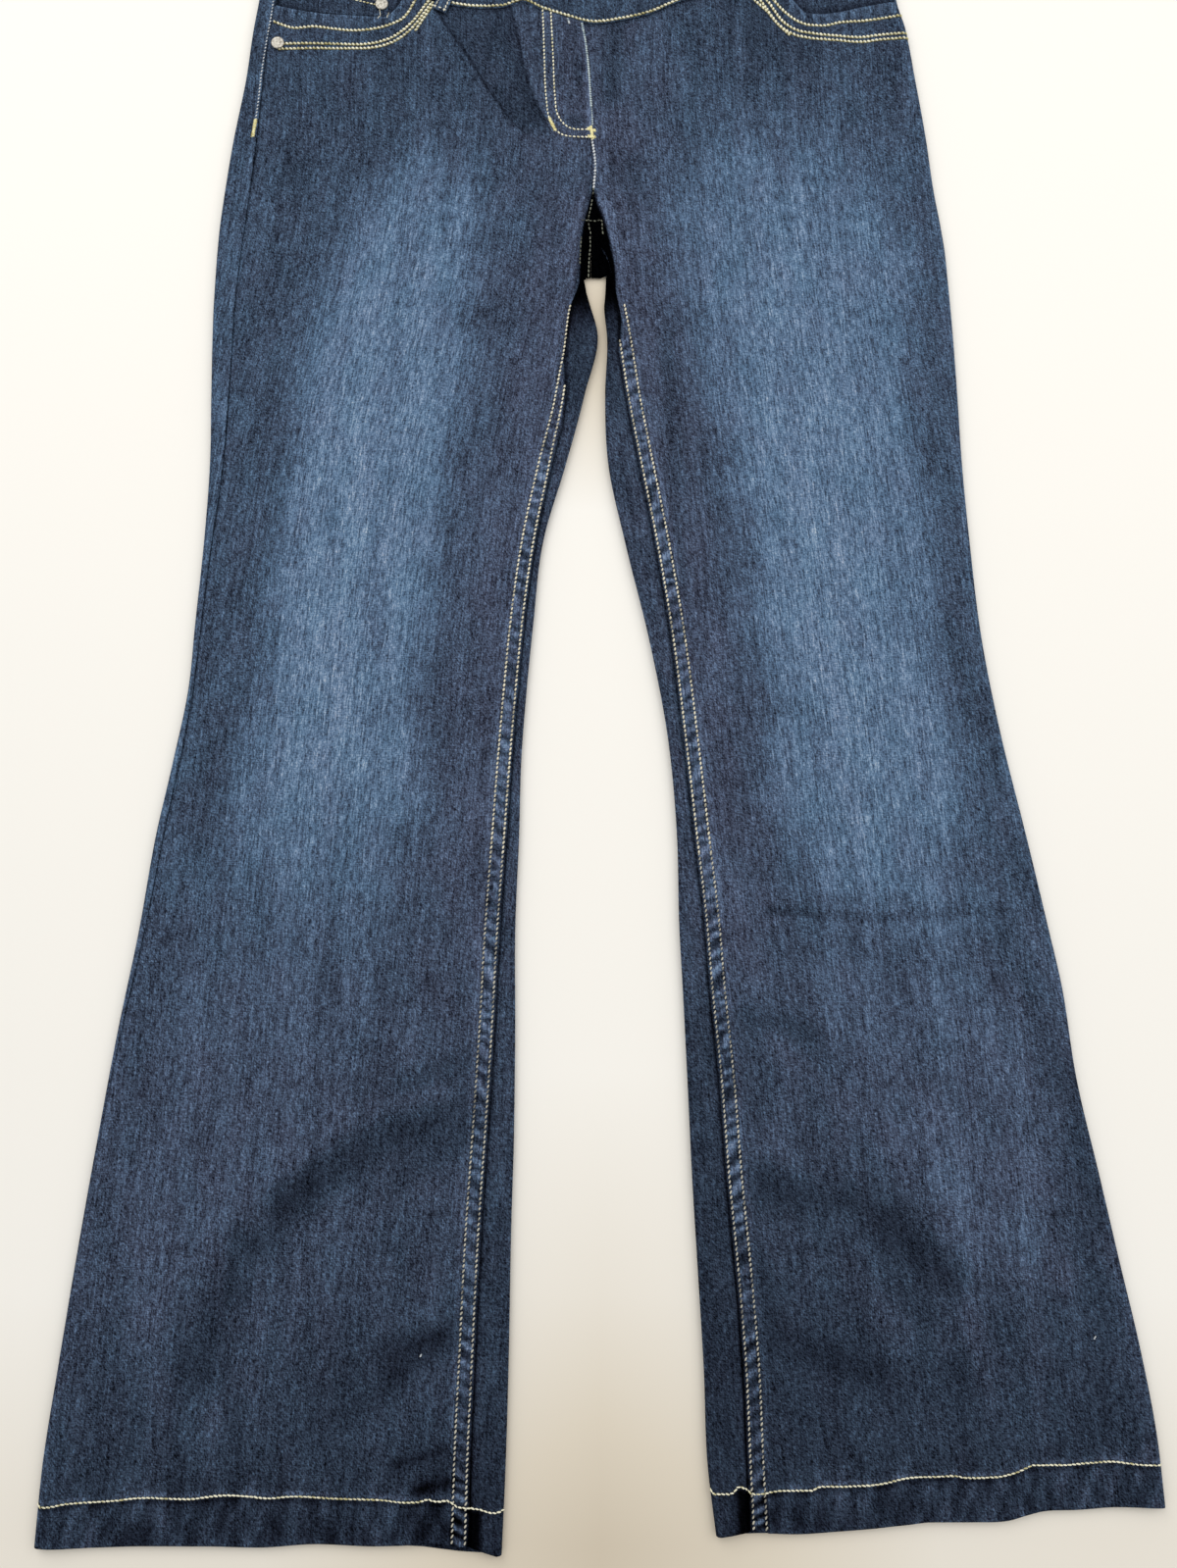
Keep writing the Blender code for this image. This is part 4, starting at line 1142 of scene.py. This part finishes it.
FLY_EDGE = table(
    "along across",
    (519.2,    -8),
    (520.6, -15.5),
    (523.5, -21.6),
    (  529, -25.9),
    (  536, -27.6),
    (  547, -28.9),
    (  575, -30.2),
    (  607, -31.2),
)
FLY_ROWS = [
    [(-29.8, 610.5), (-29.2, 596), (-28.5, 575.3), (-27.1, 547.3), (-25.4, 534.7), (-21.9, 526.4),
     (-16.9, 522.3), (-9.4, 520.6), (1.3, 520.2)],
    [(-24.4, 608), (-23.6, 592), (-22.8, 575.3), (-21.4, 547.3), (-20.1, 536.8), (-16.9, 530.6),
     (-11.9, 526.4), (-6.3, 525.4), (1.3, 525.4)],
]


def mock_fly():
    rows = np.concatenate([np.linspace(519.2, 536, 18), np.linspace(538, 606, 44)])[:, None]
    left = read(FLY_EDGE, "across", rows)
    right = read(CENTRE_FRONT, "across", rows) + 0.6
    columns = np.concatenate([[0, 0.02, 0.05, 0.09], np.linspace(0.13, 0.9, 24), [0.93, 0.955, 0.975, 0.99, 1]])
    across = left + columns * (right - left)
    seam = read(WAIST_SEAM, "along", across) - 0.6
    along = np.where(rows > 588, 588 + (rows - 588) / 18 * (seam - 588), rows)
    height = upper_height(RIGHT_LEG, across, along) + unevenness(across, along, 41)
    from_left, from_right = across - left, right - across
    height = height + 0.15 + 0.95 * ease(0, 9, from_left) - 0.75 * hump(from_right, 0.8)
    height = height - 0.5 * hump(along - 519.2, 1.2)
    for line in FLY_ROWS:
        height = height - 0.25 * hump(line_distance(across, along, line), 0.9)
    # The sharp fold's painted shade and highlight carry on over the fly.
    tone = wash_and_shade_of(RIGHT_LEG, across, along) + sharp_fold(across, along)[1]
    tone = tone + 5 * rumple(across / 6, along / 11, 71)
    tone = tone + 5 + 34 * hump(from_right - 0.75, 0.9) + 8 * hump(from_right - 2.5, 1.2)
    tone = tone - 10 * hump(along - 531, 6) * hump(across + 10, 9)
    return lay_cloth("fly_cloth", np.stack([across, along, height], -1), 0.8,
                     cloth_marks(RIGHT_LEG, across, along, tone), denim)


fly = mock_fly()


# ---------------------------------------------------------------------------------------------
# Waistband and belly band. A straight strip of denim is stitched over the top of the panels, scooped
# down under the belly in front, and a tube of soft knitted jersey is sewn to it above.

WAIST_TOP = table(
    "across along",
    (-211, 704),
    (-118, 665),
    ( -60, 650),
    (   3, 641),
    (  60, 653),
    ( 121, 671),
    ( 197, 704),
)
BELLY_TOP = 790.0
WAISTBAND_WIDTH = 40.0


def front_band(name, bottom, top, wall, lift, finish, marks):
    """A band across the upper face from side seam to side seam."""
    places = np.concatenate([[0, 0.4, 1, 2, 4, 8], np.linspace(14, 380, 128)])
    share = np.concatenate([[0, 0.008, 0.02, 0.04, 0.07], np.linspace(0.1, 0.9, 34), [0.94, 0.97, 1]])[:, None]
    side_low, side_high = bottom(np.array([-200.0]))[0], top(np.array([-200.0]))[0]
    side = side_low + share * (side_high - side_low)
    right_arc = seam_turn(RIGHT_LEG, side) + 0.1
    left_arc = seam_turn(LEFT_LEG, side) + 0.1
    right_end, right_height = over_edge(RIGHT_LEG, side, right_arc + places[:6])
    left_end, left_height = over_edge(LEFT_LEG, side, left_arc + places[:6])
    middle = np.linspace(0, 1, 130)[1:-1]
    across = right_end[:, -1:] + middle * (left_end[:, -1:] - right_end[:, -1:])
    along = bottom(across) + share * (top(across) - bottom(across))
    height = np.where(across < 0, upper_height(RIGHT_LEG, across, along), upper_height(LEFT_LEG, across, along))
    across = np.concatenate([right_end, across, left_end[:, ::-1]], 1)
    along = np.concatenate([side + 0 * right_end, along, side + 0 * left_end], 1)
    height = np.concatenate([right_height, height, left_height[:, ::-1]], 1)
    low, high = along - bottom(across), top(across) - along
    from_end = np.minimum(np.arange(across.shape[1]), np.arange(across.shape[1])[::-1])
    height = height + lift(across, along, low, high) * ease(0, 7, from_end)
    return lay_cloth(name, np.stack([across, along, height], -1), wall, marks(across, along, low, high), finish)


def back_band(name, bottom, top, wall, finish, marks):
    """A band across the floor, folded up over both outer edges to the side seams."""
    rows = []
    for along in np.linspace(bottom, top, 26):
        level = lambda x: along + 0 * x
        left = outer_wrap(LEFT_LEG, np.array(along), level)[0]
        right = outer_wrap(RIGHT_LEG, np.array(along), level)[0]
        across = left[0, 0] + np.linspace(0, 1, 60)[1:-1] * (right[0, 0] - left[0, 0])
        lie = 0.15 + 0.15 * rumple(across / 30, along / 18 + 0 * across, 81)
        rows.append(np.concatenate([left[::-1], np.stack([across, along + 0 * across, lie], -1), right]))
    outer = np.stack(rows)
    across, along = outer[..., 0], outer[..., 1]
    return lay_cloth(name, outer, wall, marks(across, along, along - bottom, top - along), finish)


def waist_seam(across):
    return read(WAIST_SEAM, "along", across)


def waist_top(across):
    return read(WAIST_TOP, "along", across)


def waistband_lift(across, along, low, high):
    puckers = np.sin(2 * np.pi * across / 9 + 3 * rumple(across / 20, across * 0, 82))
    return (0.85 - 0.55 * hump(low, 0.7) - 0.35 * hump(low - 2.0, 0.8) - 0.3 * hump(high, 0.8)
            + 0.12 * puckers * hump(low - 4, 5) + 0.8 * unevenness(across, along, 83))


def waistband_marks(across, along, low, high):
    tone = 68 + 8 * hump(low - 0.6, 0.8) + 7 * rumple(across / 12, along / 18, 84) - 8 * hump(low - 3.4, 1.2)
    return plain_marks(across, along, tone)


def jersey_lift(across, along, low, high):
    gathers = rumple(across / 7, along / 70, 85) + 0.5 * rumple(across / 3.4, along / 40, 86)
    return (0.3 * gathers * hump(low, 26) + 1.1 * rumple(across / 46, along / 60, 87)
            + 0.35 * rumple(across / 16, along / 34, 88) - 0.5 * hump(high, 1.0) - 0.25 * hump(high - 14, 0.9)
            + 0.25 * ease(0, 2, high) * (1 - ease(13, 15, high)))


def jersey_marks(across, along, low, high):
    tone = 46 + 5 * rumple(across / 60, along / 50, 89) + 4 * hump(high - 1, 1.2) - 8 * hump(low, 1.5)
    return plain_marks(across, along, tone)


def jersey_finish():
    """Fine rib of knitted loops in dark navy, with a soft nap."""
    made, shader = new_finish("navy_jersey", 0.95, 0.1, 0.12)
    p = Pattern(made)
    weave = p.mark("weave", "Vector")
    across, along, _ = p.parts(weave)
    wander = p.cells(weave, (14, 40), 1) * 2.2
    wale = p.sum("SINE", (across + wander) * (2 * math.pi / 1.9))
    loop = p.sum("SINE", (along + wale * 0.25) * (2 * math.pi / 1.3))
    height = wale * 0.5 + (loop * 0.18 + p.cells(weave, (0.9, 1.2), 2))
    tone = p.mark("wash", "Fac") + (height + p.cells(weave, (30, 22), 2)) * 0.05
    navy = [(0.02, (9, 10, 15)), (0.12, (24, 27, 38)), (0.2, (40, 45, 62)), (0.4, (84, 90, 110))]
    p.finish(shader, p.colour(tone, navy), height, 0.0003)
    return made


jersey = jersey_finish()
waistband_front = front_band("waistband_front_cloth", waist_seam, waist_top, 1.5, waistband_lift, denim,
                             waistband_marks)
waistband_back = back_band("waistband_back_cloth", BACK_WAIST, BACK_WAIST + WAISTBAND_WIDTH, 1.5, denim,
                           waistband_marks)
belly_front = front_band("belly_band_front_cloth", lambda x: waist_top(x) + 0.3, lambda x: BELLY_TOP + 0 * x,
                         1.1, jersey_lift, jersey, jersey_marks)
belly_back = back_band("belly_band_back_cloth", BACK_WAIST + WAISTBAND_WIDTH + 0.3, BELLY_TOP, 1.1, jersey,
                       jersey_marks)


# ---------------------------------------------------------------------------------------------
# Belt loops. Two folded strips of denim, each stitched down both edges, lean inwards over the waistband.

LOOP_TILT, LOOP_WIDTH, LOOP_LENGTH = math.radians(25), 9.5, 50.0
RIGHT_LOOP, LEFT_LOOP = ((-97.2, 609.4), 1), ((99.5, 619.6), -1)


def on_loop(foot, lean, run, side):
    """Place so far up a belt loop from its foot, and so far to the side of its middle."""
    lean_across, lean_along = math.sin(LOOP_TILT) * lean, math.cos(LOOP_TILT)
    return foot[0] + lean_across * run + lean_along * side, foot[1] + lean_along * run - lean_across * side


def belt_loop(name, foot, lean):
    run = np.concatenate([[0, 0.3, 0.8, 1.5, 2.5], np.linspace(4, LOOP_LENGTH - 2, 40),
                          [LOOP_LENGTH - 0.8, LOOP_LENGTH - 0.3, LOOP_LENGTH]])[:, None]
    side = np.concatenate([[-0.5, -0.48, -0.44], np.linspace(-0.38, 0.38, 13), [0.44, 0.48, 0.5]]) * LOOP_WIDTH
    across, along = on_loop(foot, lean, run, side)
    edge = LOOP_WIDTH / 2 - np.abs(side)
    end = np.minimum(run, LOOP_LENGTH - run)
    bow = 0.9 * ease(3, 12, end)
    height = HIP_HEIGHT + 2.1 + bow - 0.6 * hump(edge, 0.5) - 0.6 * hump(end, 0.5)
    height = height - 0.22 * hump(edge - 1.5, 0.5)
    height = height + 0.1 * rumple(run / 5, side / 4 + 0 * run, 91)
    tone = 70 + 16 * hump(edge - 0.4, 0.5) + 8 * rumple(run / 4, side / 3 + 0 * run, 92)
    piece = lay_cloth(name, np.stack([across, along, height], -1), 1.4,
                      plain_marks(side + 0 * run, run + 0 * side, tone), denim)
    return piece


loop_right = belt_loop("belt_loop_right_cloth", *RIGHT_LOOP)
loop_left = belt_loop("belt_loop_left_cloth", *LEFT_LOOP)


# ---------------------------------------------------------------------------------------------
# Rivets. Small pressed caps of worn nickel hold the lower corner of the pocket mouth and the coin pocket.

RIVET_RADIUS, RIVET_HEIGHT = 4.15, 1.4


def nickel_finish():
    made, shader = new_finish("worn_nickel", 0.5, 0.5, 0.0)
    shader.inputs["Metallic"].default_value = 0.6
    p = Pattern(made)
    stain = p.cells(p.millimetres(), (1.6, 1.3), 3) + 0.5
    p.finish(shader, p.colour(stain, [(0.3, (132, 127, 116)), (0.5, (184, 179, 168)), (0.7, (204, 200, 189))]))
    return made


def rivet(name, across, along, base):
    """Turned cap: a straight rim, a rounded shoulder, a shallow groove and a domed middle."""
    profile = [(RIVET_RADIUS, 0), (RIVET_RADIUS, 0.55), (4.05, 0.8), (3.8, 0.98), (3.45, 1.05), (3.1, 1.0),
               (2.85, 0.93), (2.6, 0.98), (2.2, 1.13), (1.6, 1.27), (0.9, 1.36), (0, RIVET_HEIGHT)]
    turns = 48
    points = [((across - MIDDLE_ACROSS) / 1000, (along - MIDDLE_ALONG) / 1000, base / 1000)]
    for radius, height in profile[:-1]:
        for k in range(turns):
            turn = 2 * math.pi * k / turns
            points.append(((across - MIDDLE_ACROSS + radius * math.cos(turn)) / 1000,
                           (along - MIDDLE_ALONG + radius * math.sin(turn)) / 1000, (base + height) / 1000))
    points.append((points[0][0], points[0][1], (base + RIVET_HEIGHT) / 1000))
    faces = []
    for k in range(turns):
        after = (k + 1) % turns
        faces.append((0, 1 + after, 1 + k))
        for ring in range(len(profile) - 2):
            low, high = 1 + ring * turns, 1 + (ring + 1) * turns
            faces.append((low + k, low + after, high + after, high + k))
        last = 1 + (len(profile) - 2) * turns
        faces.append((last + k, last + after, len(points) - 1))
    mesh = bpy.data.meshes.new(name)
    mesh.from_pydata(points, [], faces)
    mesh.shade_smooth()
    mesh.materials.append(nickel)
    piece = put(name, mesh)
    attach(piece, "root")
    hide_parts(name.replace("_cap", ""))


nickel = nickel_finish()
rivet("rivet_side_cap", -200.8, 586.2, HIP_HEIGHT + 1.0)
rivet("rivet_coin_cap", -134.6, 615.5, COIN_HEIGHT + 0.3)


# ---------------------------------------------------------------------------------------------
# Stitching. Thick cream thread shows as a row of slanted beads along the pocket mouths and the waist,
# and finer thread down the inseams, round the hems, along the fly and down the centre. Under the thick
# rows lies a darker row, painted shade for the gaps between the beads, and the crotch stitches take a
# darker grey thread as painted shade inside the hollow.

FRONTS = [front_right, front_left]
BACKS = [back_right, back_left]


def thread_finish(name, light, shade):
    """Spun thread: each stitch a little different, darker and paler in patches at random."""
    made, shader = new_finish(name, 0.85, 0.2, 0.1)
    p = Pattern(made)
    places = p.millimetres()
    worn = p.cells(places, (2.4, 2.4), 1) + p.cells(places, (30, 30), 2) * 0.8 + 0.5
    p.finish(shader, p.colour(worn, [(0.25, shade), (0.5, light), (0.75, [min(c + 12, 255) for c in light])]))
    return made


def smooth_line(points, step=0.8):
    """Evenly spaced places on a curve through points."""
    points = np.array(points, float)
    chord = np.concatenate([[0], np.cumsum(np.hypot(*np.diff(points, axis=0).T))])
    rows = {"at": chord, "across": points[:, 0], "along": points[:, 1]}
    at = np.linspace(0, chord[-1], max(int(chord[-1] / step), 2))
    return np.stack([read(rows, "across", at), read(rows, "along", at)], -1)


def laid(points, onto, lift):
    """Places on the upper face of the cloth pieces below, raised a little."""
    found = []
    for across, along in points:
        x, y = (across - MIDDLE_ACROSS) / 1000, (along - MIDDLE_ALONG) / 1000
        tops = [hit[1].z for hit in (piece.ray_cast((x, y, 0.05), (0, 0, -1)) for piece in onto) if hit[0]]
        if tops:
            found.append((x, y, max(tops) + lift / 1000))
    return found


def stitch_tree():
    """Node group that sets one small rounded stitch after another along curves."""
    tree = bpy.data.node_groups.new("stitches", "GeometryNodeTree")
    face = tree.interface
    face.new_socket("Geometry", in_out="OUTPUT", socket_type="NodeSocketGeometry")
    face.new_socket("Geometry", in_out="INPUT", socket_type="NodeSocketGeometry")
    for label in ("Pitch", "Width", "Height", "Length", "Slant"):
        face.new_socket(label, in_out="INPUT", socket_type="NodeSocketFloat")
    face.new_socket("Thread", in_out="INPUT", socket_type="NodeSocketMaterial")

    def node(kind, inputs, **settings):
        return add_node(tree, kind, inputs, **settings).outputs

    given = node("NodeGroupInput", {})
    level = node("GeometryNodeSetCurveNormal", {"Curve": given["Geometry"]}, mode="Z_UP")
    places = node("GeometryNodeCurveToPoints", {"Curve": level["Curve"], "Length": given["Pitch"]},
                  mode="LENGTH")
    bead = node("GeometryNodeMeshUVSphere", {"Segments": 6, "Rings": 5, "Radius": 0.5})
    spread = node("FunctionNodeRandomValue", {0: (-0.06, -0.14, -0.06), 1: (0.06, 0.14, 0.06), "Seed": 7},
                  data_type="FLOAT_VECTOR")
    slant = node("ShaderNodeCombineXYZ", {"Y": given["Slant"]})
    lean = node("ShaderNodeVectorMath", {0: slant[0], 1: spread[0]}, operation="ADD")
    turn = node("FunctionNodeEulerToRotation", {0: lean[0]})
    turned = node("FunctionNodeRotateRotation", {"Rotation": places["Rotation"], "Rotate By": turn[0]},
                  rotation_space="LOCAL")
    size = node("ShaderNodeCombineXYZ", {"X": given["Width"], "Y": given["Height"], "Z": given["Length"]})
    even = node("FunctionNodeRandomValue", {0: (0.86, 0.86, 0.9), 1: (1.12, 1.12, 1.08), "Seed": 3},
                data_type="FLOAT_VECTOR")
    grown = node("ShaderNodeVectorMath", {0: size[0], 1: even[0]}, operation="MULTIPLY")
    copies = node("GeometryNodeInstanceOnPoints", {"Points": places["Points"], "Instance": bead["Mesh"],
                                                   "Rotation": turned[0], "Scale": grown[0]})
    real = node("GeometryNodeRealizeInstances", {0: copies[0]})
    smooth = node("GeometryNodeSetShadeSmooth", {0: real[0]})
    thread = node("GeometryNodeSetMaterial", {"Geometry": smooth[0], "Material": given["Thread"]})
    node("NodeGroupOutput", {0: thread[0]})
    return tree


def stitching(name, rows, onto, pitch, size, slant, finish, lift=0.1):
    """One mesh of stitches along rows of places on the cloth; size is width, height and length."""
    path = bpy.data.curves.new(name, "CURVE")
    path.dimensions = "3D"
    for row in rows:
        points = laid(smooth_line(row), onto, lift)
        spline = path.splines.new("POLY")
        spline.points.add(len(points) - 1)
        spline.points.foreach_set("co", [value for point in points for value in (*point, 1)])
    drawn = put(name + "_path", path)
    rule = drawn.modifiers.new("stitches", "NODES")
    rule.node_group = stitches
    sockets = {item.name: item.identifier for item in stitches.interface.items_tree if item.in_out == "INPUT"}
    width, height, length = size
    for label, value in (("Pitch", pitch / 1000), ("Width", width / 1000), ("Height", height / 1000),
                         ("Length", length / 1000), ("Slant", math.radians(slant)), ("Thread", finish)):
        rule[sockets[label]] = value
    bpy.context.view_layer.update()
    mesh = bpy.data.meshes.new_from_object(drawn.evaluated_get(bpy.context.evaluated_depsgraph_get()))
    bpy.data.objects.remove(drawn, do_unlink=True)
    mesh.name = name
    piece = put(name, mesh)
    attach(piece, "root")


def beside(leg, offset, low, high):
    """A row that keeps its distance from the inseam, and nears the fold where the right leg's lap runs out."""
    sign = 1 if leg is RIGHT_LEG else -1
    bottom = leg["along"][0]
    levels = np.arange(low, high, 6.0)
    if leg is RIGHT_LEG:
        offset = offset + (3.2 * ease(345, 382, levels) if offset < 0 else -2.2 * ease(280, 350, levels))
    across = inner_seam(leg, levels) + sign * offset
    return list(zip(across, from_hem(leg, across, levels - bottom)))


bpy.context.view_layer.update()
stitches = stitch_tree()
cream = thread_finish("cream_thread", (240, 236, 208), (186, 178, 128))
pale = thread_finish("pale_thread", (232, 228, 208), (166, 162, 138))
beige = thread_finish("beige_thread", (224, 217, 192), (148, 144, 128))
dull = thread_finish("dull_thread", (188, 184, 168), (118, 116, 108))
gold = thread_finish("gold_thread", (240, 232, 178), (206, 192, 126))
# Darker thread for the row under the waist's beads: painted shade for the gaps between them.
gap_shade_thread = thread_finish("waist_gap_shade_thread", (132, 124, 80), (72, 68, 46))
# Darker grey thread for the crotch stitches: painted shade inside the crotch hollow.
grey = thread_finish("crotch_shade_thread", (124, 127, 113), (64, 66, 58))
chalk = thread_finish("chalky_thread", (212, 216, 218), (132, 146, 158))
# Darker thread for the row under the pocket beads: painted shade for the gaps between them.
shaded = thread_finish("shaded_thread", (128, 120, 76), (96, 90, 58))
faded = thread_finish("faded_thread", (176, 190, 192), (128, 146, 156))

# A darker row under the pocket beads: painted shade between them.
stitching("pocket_stitch_gap_shade", RIGHT_POCKET_ROWS + LEFT_POCKET_ROWS, FRONTS + [waistband_front],
          pitch=1.5, size=(1.7, 0.6, 2.0), slant=0, finish=shaded, lift=0.05)
stitching("pocket_stitches", RIGHT_POCKET_ROWS + LEFT_POCKET_ROWS, FRONTS + [waistband_front],
          pitch=2.5, size=(1.5, 1.3, 2.2), slant=36, finish=cream, lift=0.45)
seam_row = [(x, float(waist_seam(np.array(x))) + 1.3) for x in np.arange(-199, 194, 6.0)]
# A darker row under the waist's beads: painted shade between them.
stitching("waist_stitch_gap_shade", [seam_row], [waistband_front],
          pitch=1.5, size=(1.6, 0.6, 2.0), slant=0, finish=gap_shade_thread, lift=0.05)
stitching("waist_stitches", [seam_row], [waistband_front],
          pitch=2.6, size=(1.5, 1.3, 2.3), slant=34, finish=cream, lift=0.4)
band_rows = [[(x, float(waist_top(np.array(x))) - 2.4) for x in np.arange(-199, 194, 6.0)]]
stitching("band_stitches", band_rows, [waistband_front],
          pitch=2.6, size=(0.95, 0.8, 2.1), slant=12, finish=beige, lift=0.12)
stitching("fly_stitches", FLY_ROWS, [fly, front_right, front_left],
          pitch=2.6, size=(1.1, 0.9, 2.0), slant=12, finish=cream, lift=0.15)
stitching("fly_edge_stitches", [[(-4.3, 600), (-2.4, 590), (-0.4, 572.6), (1.4, 545.8), (2.4, 530)]],
          [fly, front_right, front_left],
          pitch=1.6, size=(1.75, 0.9, 1.5), slant=10, finish=faded, lift=0.1)
stitching("centre_stitches", [[(2.3, 519.3), (4.3, 501.8), (3.4, 486)]], FRONTS,
          pitch=2.2, size=(1.6, 1.0, 2.0), slant=20, finish=chalk, lift=0.15)
side_row = [(-214.4, 520.5), (-212.3, 540), (-210.4, 567), (-208, 590), (-206, 606), (-204, 630), (-202, 655)]
stitching("side_stitches", [side_row], BACKS + FRONTS,
          pitch=2.4, size=(0.9, 0.8, 1.6), slant=30, finish=chalk, lift=0.15)
inseam_rows = ((RIGHT_LEG, -INSEAM_GAUGE, 406), (RIGHT_LEG, INSEAM_GAUGE, 352),
               (LEFT_LEG, -INSEAM_GAUGE, 408), (LEFT_LEG, INSEAM_GAUGE, 384))
stitching("inseam_stitches", [beside(leg, offset, 62, top) for leg, offset, top in inseam_rows],
          FRONTS + BACKS,
          pitch=2.75, size=(1.25, 1.0, 2.25), slant=18, finish=beige, lift=0.15)
stitching("lower_inseam_stitches",
          [beside(leg, offset, leg["along"][0] + 2, 64) for leg, offset, _ in inseam_rows],
          FRONTS + BACKS,
          pitch=2.75, size=(1.05, 0.9, 2.25), slant=26, finish=dull, lift=0.15)
stitching("hem_stitches", [RIGHT_HEM_ROW, LEFT_HEM_ROW], FRONTS + BACKS,
          pitch=2.4, size=(1.0, 0.85, 2.5), slant=12, finish=cream, lift=0.15)
crotch_rows = [
    [(3.3, 484.6), (1.4, 471.4), (0, 463.5), (0.3, 458.5), (1.5, 453.7)],
    [(1.0, 450.7), (1.2, 446), (0.6, 439.6), (0, 425.5)],
    [(-4.6, 449.5), (-5.1, 442), (-5.4, 433.5)],
    [(-3.4, 461.8), (2.2, 462.7), (4.4, 462), (7.7, 461.6), (8.6, 459.8), (8.6, 456.2), (9, 452.8)],
]
# The darker grey thread here is painted shade inside the crotch hollow.
stitching("crotch_stitches", crotch_rows, FRONTS + BACKS,
          pitch=2.6, size=(0.9, 0.7, 2.1), slant=0, finish=grey, lift=0.15)
stitching("bar_tacks", [[(-213.0, 532), (-214.4, 520.2)], [(1.4, 527.4), (2.6, 519.4)],
                        [(-25.0, 533.5), (-21.3, 525.4)], [(-0.5, 525.7), (4.3, 525.2)],
                        [(0.0, 520.5), (4.3, 520.7)]],
          FRONTS + BACKS + [fly],
          pitch=0.75, size=(0.75, 0.8, 2.5), slant=78, finish=gold, lift=0.35)
loop_edges = (((1.6, -3.2), (47, -3.2)), ((1.6, 3.2), (47, 3.2)), ((1.8, -3.4), (1.8, 3.4)))
loop_rows = [[on_loop(*loop, *place) for place in edge] for loop in (RIGHT_LOOP, LEFT_LOOP)
             for edge in loop_edges]
stitching("loop_stitches", loop_rows, [loop_right, loop_left],
          pitch=2.5, size=(0.95, 0.8, 2.1), slant=-14, finish=pale, lift=0.12)
stitching("coin_pocket_stitches", [[(-174.5, 628.3), (-132, 617.6)], [(-174.5, 624.6), (-132, 613.9)]],
          [coin],
          pitch=2.4, size=(1.0, 0.8, 2.1), slant=-14, finish=cream, lift=0.12)
stitching("thread_ends",
          [[(-135.9, 611.3), (-135.4, 607.5), (-136.6, 604.2)], [(-130.2, 610.1), (-130.6, 604.9)]],
          FRONTS + [facing_right, coin],
          pitch=0.5, size=(0.5, 0.5, 0.9), slant=0, finish=pale, lift=0.5)
stitching("knot", [[(-13.4, 603.3), (-12.6, 600.4)]], [fly, waistband_front],
          pitch=0.8, size=(1.5, 1.4, 1.3), slant=40, finish=chalk, lift=0.5)
stitching("lint", [[(277.4, -205.4), (277.9, -204.5)], [(-92.0, -214.5), (-91.7, -213.8)]], FRONTS,
          pitch=0.7, size=(0.8, 0.6, 1.2), slant=30, finish=chalk, lift=0.2)


# ---------------------------------------------------------------------------------------------
# Camera, floor and light. A pale floor cloth lies under the garment, lit softly from above, and the
# camera stands over the knees, tipped a little towards the waist. The floor's colour is darkened by
# painted shade between the legs, towards the lower middle and towards the bottom, near the garment only.

CAMERA_LENS, CAMERA_HEIGHT, CAMERA_TILT = 27.04, 0.688, math.radians(8.5)

camera = put("camera", bpy.data.cameras.new("camera"))
camera.data.lens = CAMERA_LENS
camera.data.sensor_width = 36
camera.location = (-MIDDLE_ACROSS / 1000, -MIDDLE_ALONG / 1000, CAMERA_HEIGHT)
camera.rotation_euler = (CAMERA_TILT, 0, 0)
bpy.context.scene.camera = camera

floor_mesh = bpy.data.meshes.new("floor")
floor_mesh.from_pydata([(-6, -6, 0), (6, -6, 0), (6, 6, 0), (-6, 6, 0)], [], [(0, 1, 2, 3)])
floor = put("floor", floor_mesh)
floor_finish, floor_shader = new_finish("pale_floor", 0.9, 0.1, 0.0)
p = Pattern(floor_finish)
across, along, _ = p.parts(p.places())
# Painted shade on the floor: darker towards the lower middle, towards the bottom and between the legs, fading
# out away from the garment.
middle = p.peak(across, 1 / 5.5)
lower_shade = p.clamped((-0.3 - along) * 4.0)
corner = p.clamped((-0.42 - along) * 4.0, 0.5)
crotch_shadow = p.peak(along - 0.16, 1 / 8.0) * (middle * 1.6)
floor_shade = p.sum("MINIMUM", middle * lower_shade + corner + crotch_shadow, 1.5)
away = p.node("ShaderNodeVectorMath", {0: p.places()}, "Value", operation="LENGTH")
floor_shade = floor_shade / 1.5 * p.clamped(2.85 - away * 3.0)
shade_tint = [(0.0, (249, 246, 239)), (0.67, (225, 215, 197)), (1.0, (210, 198, 178))]
p.finish(floor_shader, p.colour(floor_shade, shade_tint))
floor_mesh.materials.append(floor_finish)

sky = bpy.data.worlds.new("studio")
sky.use_nodes = True
sky.node_tree.nodes["Background"].inputs["Color"].default_value = (1.0, 0.99, 0.97, 1)
sky.node_tree.nodes["Background"].inputs["Strength"].default_value = 0.57
bpy.context.scene.world = sky
for place, size, power in (((-0.8, 1.1, 1.5), 1.6, 18), ((1.3, 0.4, 1.6), 1.6, 13.2)):
    lamp = put("window", bpy.data.lights.new("window", "AREA"))
    lamp.data.shape = "SQUARE"
    lamp.data.size = size
    lamp.data.energy = power
    lamp.location = place
    lamp.rotation_euler = Vector(place).to_track_quat("Z", "Y").to_euler()
bpy.context.scene.view_settings.view_transform = "Standard"
